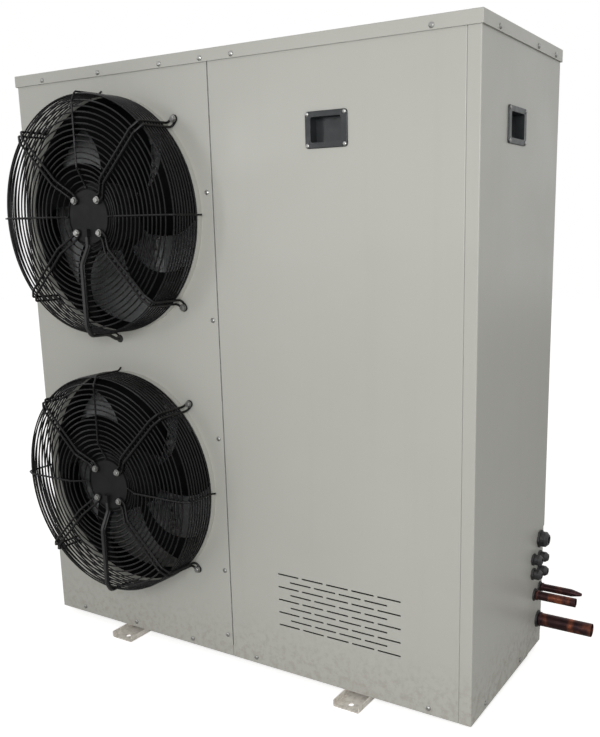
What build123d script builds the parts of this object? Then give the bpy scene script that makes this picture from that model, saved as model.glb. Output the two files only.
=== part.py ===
"""Refrigeration condensing unit: a two-fan, front-blowing box with a compressor space on the right.

Millimetres. +X is to the right seen from the front, +Y to the back, +Z up. The origin lies on the floor, in the
middle of the four foot-bolt holes.
"""

import os
from math import atan2, cos, radians, sin

from build123d import *

os.makedirs("parts", exist_ok=True)

# Casing
CASE_W = 1100.0
CASE_D = 407.0
CASE_H = 1246.0
ROOF_OVER = 3.5
ROOF_RIM = 23.0
ROOF_EDGE = 1.8
SHEET = 1.2
BEND = 1.0
SEAM = 1.5
FIT = 0.3
FAN_PANEL_W = 535.5
CORNER_STRIP_W = 24.5
LEFT_RETURN = 62.0
PARTITION_FLANGE = 19.0
SMALL_RETURN = 12.0
REAR_RETURN = 20.0

# Base
PAN_T = 1.5
PAN_RIM = 25.0
RAIL_H = 14.0
RAIL_W = 60.0
RAIL_T = 2.5
RAIL_SPACING = 604.0
RAIL_REACH = 45.0
FOOT_HOLE_D = 12.0
FOOT_HOLE_IN = 20.0

# Fans, the guards that carry them and the rings that they blow through
FAN_FROM_LEFT = 265.0
FAN_LOW_H = 370.0
FAN_PITCH = 571.0
IMPELLER_D = 450.0
TIP_GAP = 5.0
LIP_R = 12.0
LIP_FLANGE = 7.0
COLLAR_R = 241.6
COLLAR_H = 12.0
FAN_RING_DEPTH = 50.0
BLADES = 5
BLADE_T = 3.0
GUARD_DEPTH = 86.8
GUARD_RIM_R = 240.5
GUARD_BASE_Z = 16.0
GUARD_HUB_Z = 67.3
HUB_FLAT = 16.0
HUB_RISE = 52.0
RIM_BEVEL_W = 18.5
RIM_BEVEL_H = 8.8
RIM_DRAFT = 1.5
FACE_RINGS = 16
FACE_RING_FIRST_R = 60.0
FACE_RING_PITCH = 11.0
SIDE_RINGS = 8
SIDE_RING_PITCH = 7.75
RING_WIRE = 3.2
ARM_WIRE = 5.0
SPOKE_WIRE = 4.0
WELD_GAP = 0.2
ARM_PAIR = 12.0
HUB_BOLT_R = 46.0
EYELET_R = 261.0
MOTOR_PLATE_R = 54.0
MOTOR_PLATE_T = 9.0
MOTOR_NECK_R = 66.0
NECK_L = 8.0
NECK_GAP = 2.0
TUBE_WALL = 6.0
TUBE_CLEAR = 14.0
ROTOR_R = 69.0
ROTOR_WALL = 3.0
ROTOR_L = 78.0
ROTOR_BOSS = 10.0
ROTOR_EDGE = 8.0
AIR_GAP = 0.5
SHAFT_R = 6.0
SHAFT_PLAY = 0.05
SHAFT_SHORT = 3.0
BEARING_R = 16.0
BEARING_W = 10.0
CABLE_D = 7.0
CABLE_HOLE_DROP = 259.0

# Handles, screws and slots
HANDLE_W = 88.0
HANDLE_H = 64.0
HANDLE_RIM = 3.0
HANDLE_DEPTH = 20.0
HANDLE_WALL = 3.0
POCKET_W = 64.0
POCKET_H = 44.0
HANDLE_H_ABOVE = 1083.5
FRONT_HANDLE_X = 254.5
SIDE_HANDLE_Y = -36.5
SCREW_R = 2.4
SCREW_HEAD_R = 4.8
SCREW_HEAD_H = 3.0
SCREW_HOLE_GAP = 0.3
SLOT_L = 51.0
SLOT_H = 3.2
SLOT_PITCH = 58.4
SLOT_ROW_PITCH = 14.0
SLOT_ROWS = 9
SLOTS_X = 257.8
SLOTS_H_ABOVE = 161.0

# Pipes and glands at the lower rear corner
CORNER_CUT_W = 87.5
CORNER_CUT_H = 270.0
PLATE_LAP = 12.0
SUCTION_D = 28.6
LIQUID_D = 19.0
CHARGE_D = 16.0
SUCTION_TUBE_D = 22.2
TUBE_D = 16.0
PIPE_WALL = 1.2
SUCTION_END = 666.0
LIQUID_END = 636.0
CHARGE_END = 639.0
SUCTION_YZ = (174.5, 74.0)
LIQUID_YZ = (148.5, 141.0)
CHARGE_YZ = (181.5, 147.0)
GROMMET_WALL = 4.5
GROMMET_FIT = 0.1
GROMMET_LIP = 2.0
GROOVE_DEPTH = 2.0
BEAD_OUT = 1.5
BEAD_L = 6.0
BIG_GLAND_YZ = (171.5, 262.0)
SMALL_GLANDS_YZ = [(171.5, 222.0), (171.5, 190.0), (131.5, 228.0), (131.5, 195.0)]
BIG_GLAND_R = 18.0
SMALL_GLAND_R = 12.0
GLAND_H = 21.0
GLAND_FOOT_H = 5.0
GLAND_LOCKNUT_H = 4.0
# Shares of a gland's radius
GLAND_THREAD = 0.78
GLAND_BORE = 0.42
GLAND_NUT = 0.94
GLAND_CAP = 0.92

# Coil
COIL_T = 44.0
COIL_BEND = 60.0
COIL_INSET = 5.0
COIL_BEHIND = 2.0
END_PLATE_T = 1.5
COIL_TOP_GAP = 12.0
BEND_TUBE_D = 9.5
BEND_TUBE_PITCH = 25.4
RETURN_BENDS = 14

# Compressor space
SHELL_R = 85.0
SHELL_H = 430.0
SHELL_FOOT_BEND = 30.0
SHELL_TOP_BEND = 45.0
SUCTION_PORT_H = 350.0
DISCHARGE_OFF = 35.0
PORT_L = 20.0
PORT_WALL = 4.0
COMPRESSOR_XY = (150.0, -40.0)
FOOT_PLATE = 230.0
FOOT_PLATE_T = 4.0
FOOT_PITCH = 190.0
RUBBER_H = 30.0
RUBBER_R = 16.0
RUBBER_WAIST = 4.0
FOOT_PLAY = 0.5
TERMINAL_COVER = (95.0, 50.0, 115.0)
TERMINAL_COVER_H = 190.0
ACCUMULATOR_R = 50.0
ACCUMULATOR_XY = (360.0, 95.0)
ACCUMULATOR_TOP = 368.0
ACCUMULATOR_LEG = 45.0
PORT_SPREAD = 25.0
RECEIVER_R = 65.0
RECEIVER_XY = (410.0, -80.0)
RECEIVER_TOP = 455.0
RECEIVER_LEG = 20.0
SKIRT_OUT = 8.0
SKIRT_IN = 7.0
SKIRT_T = 4.0
SKIRT_H = 60.0
DRIER_R = 27.0
BOX_W = 440.0
BOX_H = 430.0
BOX_D = 90.0
BOX_Z = 720.0
BOX_BEHIND = 35.0
CONTACTOR = (45.0, 60.0, 80.0)
CONTACTOR_FACE = (40.0, 12.0, 40.0)
CONTACTOR_PITCH = 70.0
TERMINALS = (220.0, 30.0, 42.0)
TERMINAL_PITCH = 20.0
SWITCH = (45.0, 100.0, 76.0)

# Worked out from the sizes above
BODY_W = CASE_W - 2 * ROOF_OVER
BODY_D = CASE_D - 2 * ROOF_OVER
LEFT, RIGHT = -BODY_W / 2, BODY_W / 2
FRONT, BACK = -BODY_D / 2, BODY_D / 2
BOTTOM = RAIL_H
TOP = RAIL_H + CASE_H
PANEL_TOP = TOP - SHEET
PANEL_H = PANEL_TOP - BOTTOM
PAN_FLOOR = BOTTOM + PAN_T
PAN_TOP = BOTTOM + PAN_RIM
FAN_SEAM = LEFT + FAN_PANEL_W
STRIP_EDGE = RIGHT - CORNER_STRIP_W
FAN_X = LEFT + FAN_FROM_LEFT
FAN_Z = {"lower": BOTTOM + FAN_LOW_H, "upper": BOTTOM + FAN_LOW_H + FAN_PITCH}
FAN_RING_R = IMPELLER_D / 2 + TIP_GAP
MOUTH_R = FAN_RING_R + LIP_R
PARTITION_X = FAN_SEAM - SEAM / 2


def shifted(points, distance):
    """The same open run of straight lines, moved to its left by a distance, with its corners kept sharp."""
    result = []
    for i, (x, y) in enumerate(points):
        before = points[max(i - 1, 0)]
        here, after = points[i], points[min(i + 1, len(points) - 1)]
        angle_in = atan2(here[1] - before[1], here[0] - before[0]) if i else None
        angle_out = atan2(after[1] - here[1], after[0] - here[0]) if i < len(points) - 1 else angle_in
        angle_in = angle_out if angle_in is None else angle_in
        half = (angle_out - angle_in) / 2
        middle = angle_in + half
        reach = distance / cos(half)
        result.append((x - reach * sin(middle), y + reach * cos(middle)))
    return result


def turns_left(points, i):
    """Whether the run of lines turns to the left at its point i."""
    (ax, ay), (bx, by), (cx, cy) = points[i - 1 : i + 2]
    return (bx - ax) * (cy - by) - (by - ay) * (cx - bx) > 0


def folded(points, thickness=SHEET, bend=BEND):
    """The section of a sheet folded along a run of lines, its thickness to the left of them."""
    inner = shifted(points, thickness)
    corners = range(1, len(points) - 1)
    outer_radii = [bend + thickness if turns_left(points, i) else bend for i in corners]
    inner_radii = [bend if turns_left(points, i) else bend + thickness for i in corners]
    with BuildSketch() as section:
        with BuildLine():
            if outer_radii:
                FilletPolyline(*points, radius=outer_radii)
                FilletPolyline(*inner, radius=inner_radii)
            else:
                Line(points[0], points[1])
                Line(inner[0], inner[1])
            Line(points[0], inner[0])
            Line(points[-1], inner[-1])
        make_face()
    return section.sketch


def tube(points, diameter, bend, wall=0.0):
    """A round bar or pipe along straight runs joined by arcs."""
    with BuildPart() as piece:
        with BuildLine() as route:
            if len(points) > 2:
                FilletPolyline(*points, radius=bend)
            else:
                Line(*points)
        with BuildSketch(Plane(origin=route.line @ 0, z_dir=route.line % 0)):
            Circle(diameter / 2)
            if wall:
                Circle(diameter / 2 - wall, mode=Mode.SUBTRACT)
        sweep(path=route.line)
    return piece.part


def turned(points, radii=None):
    """A solid of revolution about Z from the corners (r, z) of its half section."""
    with BuildPart() as piece:
        with BuildSketch(Plane.XZ):
            with BuildLine():
                if radii:
                    FilletPolyline(*points, radius=radii, close=True)
                else:
                    Polyline(*points, close=True)
            make_face()
        revolve(axis=Axis.Z)
    return piece.part


# Fan parts are drawn about +Z, which points out of the panel, with z = 0 at the panel's front face
GUARD_LINE = [
    (HUB_BOLT_R, GUARD_HUB_Z),
    (HUB_BOLT_R + HUB_FLAT, GUARD_HUB_Z),
    (HUB_BOLT_R + HUB_RISE, GUARD_DEPTH),
    (GUARD_RIM_R - RIM_BEVEL_W, GUARD_DEPTH),
    (GUARD_RIM_R - RIM_DRAFT, GUARD_DEPTH - RIM_BEVEL_H),
    (GUARD_RIM_R, GUARD_BASE_Z),
]
RIM_TUCK = 1.0


def guard_height(radius):
    """How far out of the panel the face rings lie at a radius."""
    for (r0, z0), (r1, z1) in zip(GUARD_LINE, GUARD_LINE[1:]):
        if r0 <= radius <= r1:
            return z0 + (z1 - z0) * (radius - r0) / (r1 - r0)
    return GUARD_BASE_Z


def over_rings(wire):
    """The line of a wire's centre that lies on the outside of the rings."""
    return shifted(GUARD_LINE, RING_WIRE / 2 + WELD_GAP + wire / 2)


RING_PLACES = [
    (r, guard_height(r)) for r in (FACE_RING_FIRST_R + i * FACE_RING_PITCH for i in range(FACE_RINGS))
]
RIM_PLACE = (GUARD_LINE[4][0] - RIM_TUCK, GUARD_LINE[4][1] - RIM_TUCK)
SIDE_PLACES = [(GUARD_RIM_R, GUARD_BASE_Z + i * SIDE_RING_PITCH) for i in range(SIDE_RINGS)]
SIDE_DRAFT = RIM_DRAFT / (GUARD_DEPTH - RIM_BEVEL_H - GUARD_BASE_Z)
ARM_BENDS = [20.0, 20.0, 10.0, 6.0, 8.0]
SPOKE_BEND = 8.0
SPOKE_END = (6.0, -6.5)

with BuildPart() as guard_arm:
    arm_line = over_rings(ARM_WIRE)
    arm_side = [(r, z) for r, z in arm_line[:-1]]
    foot_z = ARM_WIRE / 2
    arm_side.append((arm_line[-1][0] + 0.5, foot_z))
    arm_side.append((EYELET_R, foot_z))
    hub_z = arm_side[0][1]
    half_pair = ARM_PAIR / 2
    with BuildLine() as arm_route:
        FilletPolyline(*[(r, half_pair, z) for r, z in arm_side], radius=ARM_BENDS)
        ThreePointArc(
            (EYELET_R, half_pair, foot_z), (EYELET_R + half_pair, 0, foot_z), (EYELET_R, -half_pair, foot_z)
        )
        FilletPolyline(*[(r, -half_pair, z) for r, z in reversed(arm_side)], radius=ARM_BENDS[::-1])
        ThreePointArc(
            (HUB_BOLT_R, -half_pair, hub_z),
            (HUB_BOLT_R - half_pair, 0, hub_z),
            (HUB_BOLT_R, half_pair, hub_z),
        )
    with BuildSketch(Plane(origin=arm_route.line @ 0, z_dir=arm_route.line % 0)):
        Circle(ARM_WIRE / 2)
    sweep(path=arm_route.line)

with BuildPart() as guard_spoke:
    spoke_line = over_rings(SPOKE_WIRE)
    spoke_foot = spoke_line[-1][0]
    spoke_points = [(FACE_RING_FIRST_R - RING_WIRE, 0, spoke_line[0][1])]
    spoke_points += [(r, 0, z) for r, z in spoke_line[1:-1]]
    spoke_points.append((spoke_foot, 0, GUARD_BASE_Z))
    spoke_points.append((spoke_foot + SPOKE_END[0], 0, GUARD_BASE_Z + SPOKE_END[1]))
    add(tube(spoke_points, SPOKE_WIRE, bend=SPOKE_BEND))


def wire_ring(radius, height):
    """A ring of wire about Z. Six flats stand in for its round section, to keep the many rings light."""
    with BuildPart() as ring:
        with BuildSketch(Plane.XZ):
            with Locations((radius, height)):
                RegularPolygon(RING_WIRE / 2, 6)
        revolve(axis=Axis.Z)
    return ring.part


with BuildPart() as guard:
    for ring_r, ring_z in RING_PLACES + [RIM_PLACE]:
        add(wire_ring(ring_r, ring_z))
    for ring_r, ring_z in SIDE_PLACES:
        add(wire_ring(ring_r - (ring_z - GUARD_BASE_Z) * SIDE_DRAFT, ring_z))
    with PolarLocations(0, 4, start_angle=45):
        add(guard_arm.part)
    with PolarLocations(0, 4):
        add(guard_spoke.part)

# The motor hangs in the guard by its plate. The rotor can turns outside the stator
HUB_WIRE_BACK = over_rings(ARM_WIRE)[0][1] - ARM_WIRE / 2
PLATE_FRONT = HUB_WIRE_BACK
PLATE_BACK = PLATE_FRONT - MOTOR_PLATE_T
NECK_BACK = PLATE_BACK - NECK_L
ROTOR_FRONT = NECK_BACK - NECK_GAP
ROTOR_BACK = ROTOR_FRONT - ROTOR_L
TUBE_R = BEARING_R + TUBE_WALL
TUBE_BACK = ROTOR_BACK + TUBE_CLEAR
BOLT_CLEAR_R = 3.2
HUB_HOLE_DEPTH = 11.0
CABLE_X = -(SPOKE_WIRE / 2 + CABLE_D / 2 + WELD_GAP)
CABLE_START_R = 40.0
CABLE_BOX = (13.0, 16.0, 8.5)

with BuildPart() as motor_flange:
    add(
        turned(
            [
                (BEARING_R, TUBE_BACK),
                (TUBE_R, TUBE_BACK),
                (TUBE_R, NECK_BACK),
                (MOTOR_NECK_R, NECK_BACK),
                (MOTOR_NECK_R, PLATE_BACK),
                (MOTOR_PLATE_R, PLATE_BACK),
                (MOTOR_PLATE_R, PLATE_FRONT),
                (0, PLATE_FRONT),
                (0, PLATE_BACK),
                (BEARING_R, PLATE_BACK),
            ]
        )
    )
    with Locations((CABLE_X, CABLE_BOX[1] / 2 - CABLE_START_R, PLATE_FRONT)):
        Box(*CABLE_BOX, align=(Align.CENTER, Align.CENTER, Align.MIN))
    with BuildSketch(Plane.XY.offset(PLATE_FRONT)):
        with PolarLocations(HUB_BOLT_R, 4, start_angle=45):
            Circle(BOLT_CLEAR_R)
    extrude(amount=-HUB_HOLE_DEPTH, mode=Mode.SUBTRACT)

CORE_FRONT = NECK_BACK - 18.0
CORE_BACK = CORE_FRONT - 40.0
CORE_R = ROTOR_R - ROTOR_WALL - AIR_GAP
WINDING_L = 9.0
WINDING_IN = TUBE_R + 8.0
WINDING_OUT = ROTOR_R - 10.0

with BuildPart() as motor_stator:
    add(
        turned(
            [
                (TUBE_R, CORE_BACK),
                (WINDING_IN, CORE_BACK),
                (WINDING_IN, CORE_BACK - WINDING_L),
                (WINDING_OUT, CORE_BACK - WINDING_L),
                (WINDING_OUT, CORE_BACK),
                (CORE_R, CORE_BACK),
                (CORE_R, CORE_FRONT),
                (WINDING_OUT, CORE_FRONT),
                (WINDING_OUT, CORE_FRONT + WINDING_L),
                (WINDING_IN, CORE_FRONT + WINDING_L),
                (WINDING_IN, CORE_FRONT),
                (TUBE_R, CORE_FRONT),
            ]
        )
    )

with BuildPart() as motor_bearings:
    for back in (TUBE_BACK + 2.0, NECK_BACK - BEARING_W):
        with Locations((0, 0, back + BEARING_W / 2)):
            Cylinder(BEARING_R, BEARING_W)
            Cylinder(SHAFT_R + SHAFT_PLAY, BEARING_W, mode=Mode.SUBTRACT)

with BuildPart() as motor_rotor:
    add(
        turned(
            [
                (SHAFT_R, ROTOR_BACK),
                (ROTOR_R, ROTOR_BACK),
                (ROTOR_R, ROTOR_FRONT),
                (ROTOR_R - ROTOR_WALL, ROTOR_FRONT),
                (ROTOR_R - ROTOR_WALL, ROTOR_BACK + ROTOR_WALL),
                (2 * SHAFT_R, ROTOR_BACK + ROTOR_WALL),
                (2 * SHAFT_R, ROTOR_BACK + ROTOR_BOSS),
                (SHAFT_R, ROTOR_BACK + ROTOR_BOSS),
            ],
            radii=[0, ROTOR_EDGE, 0, 0, ROTOR_EDGE - ROTOR_WALL, 0, 0, 0],
        )
    )

with BuildPart() as motor_shaft:
    with Locations((0, 0, ROTOR_BACK)):
        shaft_l = PLATE_BACK - SHAFT_SHORT - ROTOR_BACK
        Cylinder(SHAFT_R, shaft_l, align=(Align.CENTER, Align.CENTER, Align.MIN))
    chamfer(motor_shaft.faces().sort_by(Axis.Z)[-1].edges(), length=1)

# Sickle blades: thin arched sections that turn, lean forward and flatten towards the tip
BLADE_MIDDLE = -14.0
BLADE_STATIONS = [
    # radius, sweep in degrees, chord, pitch in degrees, camber
    (56.0, 0.0, 92.0, 38.0, 9.0),
    (105.0, 1.0, 104.0, 33.0, 10.0),
    (160.0, 9.0, 124.0, 27.0, 11.0),
    (200.0, 20.0, 140.0, 23.0, 11.0),
    (IMPELLER_D / 2 + 12.0, 33.0, 150.0, 20.0, 10.0),
]

with BuildPart() as blade:
    for radius, sweep_angle, chord, pitch, camber in BLADE_STATIONS:
        swept, tilt = radians(sweep_angle), radians(pitch)
        outward = (cos(swept), sin(swept), 0)
        along = (-sin(swept) * cos(tilt), cos(swept) * cos(tilt), sin(tilt))
        centre = (radius * cos(swept), radius * sin(swept), BLADE_MIDDLE)
        with BuildSketch(Plane(origin=centre, x_dir=along, z_dir=outward)):
            with BuildLine():
                ThreePointArc((-chord / 2, 0), (0, camber), (chord / 2, 0))
                Line((chord / 2, 0), (chord / 2, -BLADE_T / 2))
                ThreePointArc((chord / 2, -BLADE_T / 2), (0, camber - BLADE_T), (-chord / 2, -BLADE_T / 2))
                Line((-chord / 2, -BLADE_T / 2), (-chord / 2, 0))
            make_face()
    loft()
    Cylinder(ROTOR_R, 4 * ROTOR_L, mode=Mode.SUBTRACT)
    Cylinder(IMPELLER_D / 2, 4 * ROTOR_L, mode=Mode.INTERSECT)

with BuildPart() as impeller:
    with PolarLocations(0, BLADES):
        add(blade.part)

with BuildPart() as fan_ring:
    with BuildSketch(Plane.XZ):
        add(
            folded(
                [(MOUTH_R + LIP_FLANGE, -SHEET), (FAN_RING_R, -SHEET), (FAN_RING_R, -FAN_RING_DEPTH)],
                bend=LIP_R - SHEET,
            )
        )
    revolve(axis=Axis.Z)


# Radius, width across flats, height of head, and radius and thickness of washer
M6_BOLT = (3.0, 10.0, 4.2, 7.2, 1.5)
M10_BOLT = (5.0, 16.0, 8.0, 13.0, 2.0)
GUARD_SCREW_GRIP = 8.0


def hex_bolt(seat, length, radius, across, head_h, washer_r, washer_t):
    """A hexagon bolt with its washer, its head on top of the height of its seat."""
    with BuildPart() as bolt:
        with Locations((0, 0, seat - length)):
            Cylinder(radius, length, align=(Align.CENTER, Align.CENTER, Align.MIN))
        with Locations((0, 0, seat)):
            Cylinder(washer_r, washer_t, align=(Align.CENTER, Align.CENTER, Align.MIN))
        with BuildSketch(Plane.XY.offset(seat + washer_t)):
            RegularPolygon(across / 2, 6, major_radius=False)
        extrude(amount=head_h)
        chamfer(bolt.faces().sort_by(Axis.Z)[-1].edges(), length=0.6)
    return bolt.part


with BuildPart() as motor_bolts:
    with PolarLocations(HUB_BOLT_R, 4, start_angle=45):
        add(hex_bolt(PLATE_FRONT + ARM_WIRE, ARM_WIRE + MOTOR_PLATE_T, *M6_BOLT))

with BuildPart() as guard_screws:
    with PolarLocations(EYELET_R, 4, start_angle=45):
        add(hex_bolt(ARM_WIRE, ARM_WIRE + GUARD_SCREW_GRIP, *M6_BOLT))

cable_line = over_rings(CABLE_D)
cable_side = cable_line[-1][0]
cable_run = [(CABLE_START_R, cable_line[0][1])] + cable_line[1:-1]
cable_run += [(cable_side, 34.0), (CABLE_HOLE_DROP, 10.0), (CABLE_HOLE_DROP, -12.0)]
CABLE_BENDS = [20.0, 20.0, 20.0, 14.0, 40.0, 24.0]
with BuildPart() as motor_cable:
    add(tube([(CABLE_X, -r, z) for r, z in cable_run], CABLE_D, bend=CABLE_BENDS))

GROMMET_HOLE_R = CABLE_D / 2 + GROMMET_LIP + 1.0
with BuildPart() as cable_grommet:
    grommet_bore = CABLE_D / 2 + GROMMET_FIT
    with Locations((CABLE_X, -CABLE_HOLE_DROP, 0)):
        add(
            turned(
                [
                    (grommet_bore, -SHEET - GROMMET_LIP),
                    (GROMMET_HOLE_R + GROMMET_LIP, -SHEET - GROMMET_LIP),
                    (GROMMET_HOLE_R + GROMMET_LIP, -SHEET),
                    (GROMMET_HOLE_R, -SHEET),
                    (GROMMET_HOLE_R, 0),
                    (GROMMET_HOLE_R + GROMMET_LIP, 0),
                    (GROMMET_HOLE_R + GROMMET_LIP / 2, 1.5 * GROMMET_LIP),
                    (grommet_bore, 2 * GROMMET_LIP),
                ]
            )
        )


def save(piece, name):
    """Label a finished piece and write it."""
    piece.label = name
    export_step(piece, f"parts/{name}.step")


fan_planes = {
    level: Plane(origin=(FAN_X, FRONT, z), x_dir=(1, 0, 0), z_dir=(0, -1, 0)) for level, z in FAN_Z.items()
}
fan_pieces = {
    "fan_guard": guard,
    "fan_ring": fan_ring,
    "motor_flange": motor_flange,
    "motor_stator": motor_stator,
    "motor_rotor": motor_rotor,
    "motor_shaft": motor_shaft,
    "fan_blades": impeller,
    "motor_cable": motor_cable,
}
for level, fan_plane in fan_planes.items():
    for kind, source in fan_pieces.items():
        with BuildPart() as placed:
            with Locations(fan_plane.location):
                add(source.part)
        save(placed.part, f"{kind}_{level}")

shared_fan_pieces = {
    "motor_bearings": motor_bearings,
    "motor_bolts": motor_bolts,
    "guard_screws": guard_screws,
    "cable_grommets": cable_grommet,
}
for kind, source in shared_fan_pieces.items():
    with BuildPart() as placed:
        with Locations(*[fan_plane.location for fan_plane in fan_planes.values()]):
            add(source.part)
    save(placed.part, kind)

# Screws stand on planes whose z points out of the sheet that they hold
ROOF_SCREW_X = [-462.0, -295.0, -127.0, -24.0, 51.0, 460.0]
ROOF_SCREW_Y = [-132.5, 59.5, 159.5]
ROOF_SCREW_BACK_X = [-531.0, 60.0, 290.0, 505.0]
ROOF_SCREW_LEFT_Y = [-186.0, 185.0]
ROOF_SCREW_Z = TOP - 16.0
FOOT_SCREW_X = [-468.0, -298.0, -126.0, 52.0, 459.0]
FOOT_SCREW_Y = [-129.5, 62.5]
FOOT_SCREW_BACK_X = [60.0, 290.0, 480.0]
FOOT_SCREW_Z = BOTTOM + 13.0
SEAM_SCREW_X = FAN_SEAM - 13.0
SEAM_SCREW_Z = [BOTTOM + h for h in (47.5, 196.0, 487.0, 733.0, 983.0)]
TO_FRONT, TO_BACK, TO_LEFT, TO_RIGHT = (0, -1, 0), (0, 1, 0), (-1, 0, 0), (1, 0, 0)


def facing(x, y, z, direction):
    """A plane at a point of an upright face, its z out of the face and its y upwards."""
    side = Vector(0, 0, 1).cross(Vector(*direction))
    return Plane(origin=(x, y, z), x_dir=side, z_dir=direction)


roof_screw_planes = [facing(x, -CASE_D / 2, ROOF_SCREW_Z, TO_FRONT) for x in ROOF_SCREW_X]
roof_screw_planes += [facing(CASE_W / 2, y, ROOF_SCREW_Z, TO_RIGHT) for y in ROOF_SCREW_Y]
roof_screw_planes += [facing(x, CASE_D / 2, ROOF_SCREW_Z, TO_BACK) for x in ROOF_SCREW_BACK_X]
roof_screw_planes += [facing(-CASE_W / 2, y, ROOF_SCREW_Z, TO_LEFT) for y in ROOF_SCREW_LEFT_Y]
panel_screw_planes = [facing(x, FRONT, FOOT_SCREW_Z, TO_FRONT) for x in FOOT_SCREW_X]
panel_screw_planes += [facing(SEAM_SCREW_X, FRONT, z, TO_FRONT) for z in SEAM_SCREW_Z]
panel_screw_planes += [facing(RIGHT, y, FOOT_SCREW_Z, TO_RIGHT) for y in FOOT_SCREW_Y]
panel_screw_planes += [facing(x, BACK, FOOT_SCREW_Z, TO_BACK) for x in FOOT_SCREW_BACK_X]
ROOF_SCREW_L = 2 * SHEET + ROOF_OVER
PANEL_SCREW_L = SHEET + FIT + PAN_T + 1.0


def pan_screw(length, radius=SCREW_R, head_r=SCREW_HEAD_R, head_h=SCREW_HEAD_H):
    """A round-headed screw whose head sits on z = 0."""
    return turned(
        [
            (0, -length),
            (radius, -length),
            (radius, 0),
            (head_r, 0),
            (head_r, head_h / 2),
            (head_r / 2, head_h),
            (0, head_h),
        ]
    )


def screw_holes():
    """Clearance holes for every casing screw, to be taken from a sheet."""
    with BuildPart() as holes:
        with Locations(*[plane.location for plane in roof_screw_planes + panel_screw_planes]):
            Cylinder(SCREW_R + SCREW_HOLE_GAP, 4 * ROOF_SCREW_L)
    return holes.part


HOLES = screw_holes()


def upright(points, z0, z1, thickness=SHEET, bend=BEND):
    """A sheet folded in plan, standing from one height to another."""
    with BuildPart() as sheet:
        with BuildSketch(Plane.XY.offset(z0)):
            add(folded(points, thickness, bend))
        extrude(amount=z1 - z0)
    return sheet.part


with BuildPart() as foot_rail:
    with BuildSketch(Plane.XZ):
        half_rail = RAIL_W / 2
        rail_run = [(-half_rail, RAIL_H), (-half_rail, 0), (half_rail, 0), (half_rail, RAIL_H)]
        add(folded(rail_run, RAIL_T, bend=2 * BEND))
    extrude(amount=BODY_D / 2 + RAIL_REACH, both=True)
    with BuildSketch(Plane.XY):
        with GridLocations(1, BODY_D + 2 * (RAIL_REACH - FOOT_HOLE_IN), 1, 2):
            Circle(FOOT_HOLE_D / 2)
    extrude(amount=RAIL_T, mode=Mode.SUBTRACT)

for side, offset_x in (("left", -RAIL_SPACING / 2), ("right", RAIL_SPACING / 2)):
    with BuildPart() as placed:
        with Locations((offset_x, 0, 0)):
            add(foot_rail.part)
    save(placed.part, f"foot_rail_{side}")

PAN_W = BODY_W - 2 * (SHEET + FIT)
PAN_D = BODY_D - 2 * (SHEET + FIT)
with BuildPart() as base_pan:
    with BuildSketch(Plane.XY.offset(BOTTOM)):
        Rectangle(PAN_W, PAN_D)
    extrude(amount=PAN_RIM)
    fillet(base_pan.edges().filter_by(Axis.Z), radius=2 * PAN_T)
    offset(amount=-PAN_T, openings=base_pan.faces().sort_by(Axis.Z)[-1])
    add(HOLES, mode=Mode.SUBTRACT)
save(base_pan.part, "base_pan")

with BuildPart() as roof_cover:
    with BuildSketch(Plane.XY.offset(TOP - ROOF_RIM)):
        Rectangle(CASE_W, CASE_D)
    extrude(amount=ROOF_RIM)
    roof_edges = roof_cover.edges().filter_by(Axis.Z) + roof_cover.faces().sort_by(Axis.Z)[-1].edges()
    fillet(roof_edges, radius=ROOF_EDGE)
    offset(amount=-SHEET, openings=roof_cover.faces().sort_by(Axis.Z)[0])
    add(HOLES, mode=Mode.SUBTRACT)
save(roof_cover.part, "roof_cover")

with BuildPart() as fan_panel:
    fan_panel_run = [(LEFT, FRONT + LEFT_RETURN), (LEFT, FRONT), (FAN_SEAM - SEAM / 2, FRONT)]
    add(upright(fan_panel_run, BOTTOM, PANEL_TOP))
    for fan_plane in fan_planes.values():
        with BuildSketch(fan_plane):
            Circle(COLLAR_R)
        extrude(amount=COLLAR_H)
        with BuildSketch(fan_plane.offset(COLLAR_H)):
            Circle(COLLAR_R - SHEET)
        extrude(amount=-COLLAR_H - SHEET, mode=Mode.SUBTRACT)
        with BuildSketch(fan_plane):
            with PolarLocations(EYELET_R, 4, start_angle=45):
                Circle(BOLT_CLEAR_R)
            with Locations((CABLE_X, -CABLE_HOLE_DROP)):
                Circle(GROMMET_HOLE_R + WELD_GAP)
        extrude(amount=-SHEET, mode=Mode.SUBTRACT)
    add(HOLES, mode=Mode.SUBTRACT)
save(fan_panel.part, "fan_panel")

front_handle_plane = facing(FRONT_HANDLE_X, FRONT, BOTTOM + HANDLE_H_ABOVE, TO_FRONT)
side_handle_plane = facing(RIGHT, SIDE_HANDLE_Y, BOTTOM + HANDLE_H_ABOVE, TO_RIGHT)
HANDLE_SCREW_R = 1.9
HANDLE_SCREW_PITCH = (78.0, 54.0)
HANDLE_SCREW_HEAD = (3.6, 1.8)
CUP_CORNER = 5.0
CUP_W = POCKET_W + 2 * HANDLE_WALL
CUP_H = POCKET_H + 2 * HANDLE_WALL

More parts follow.
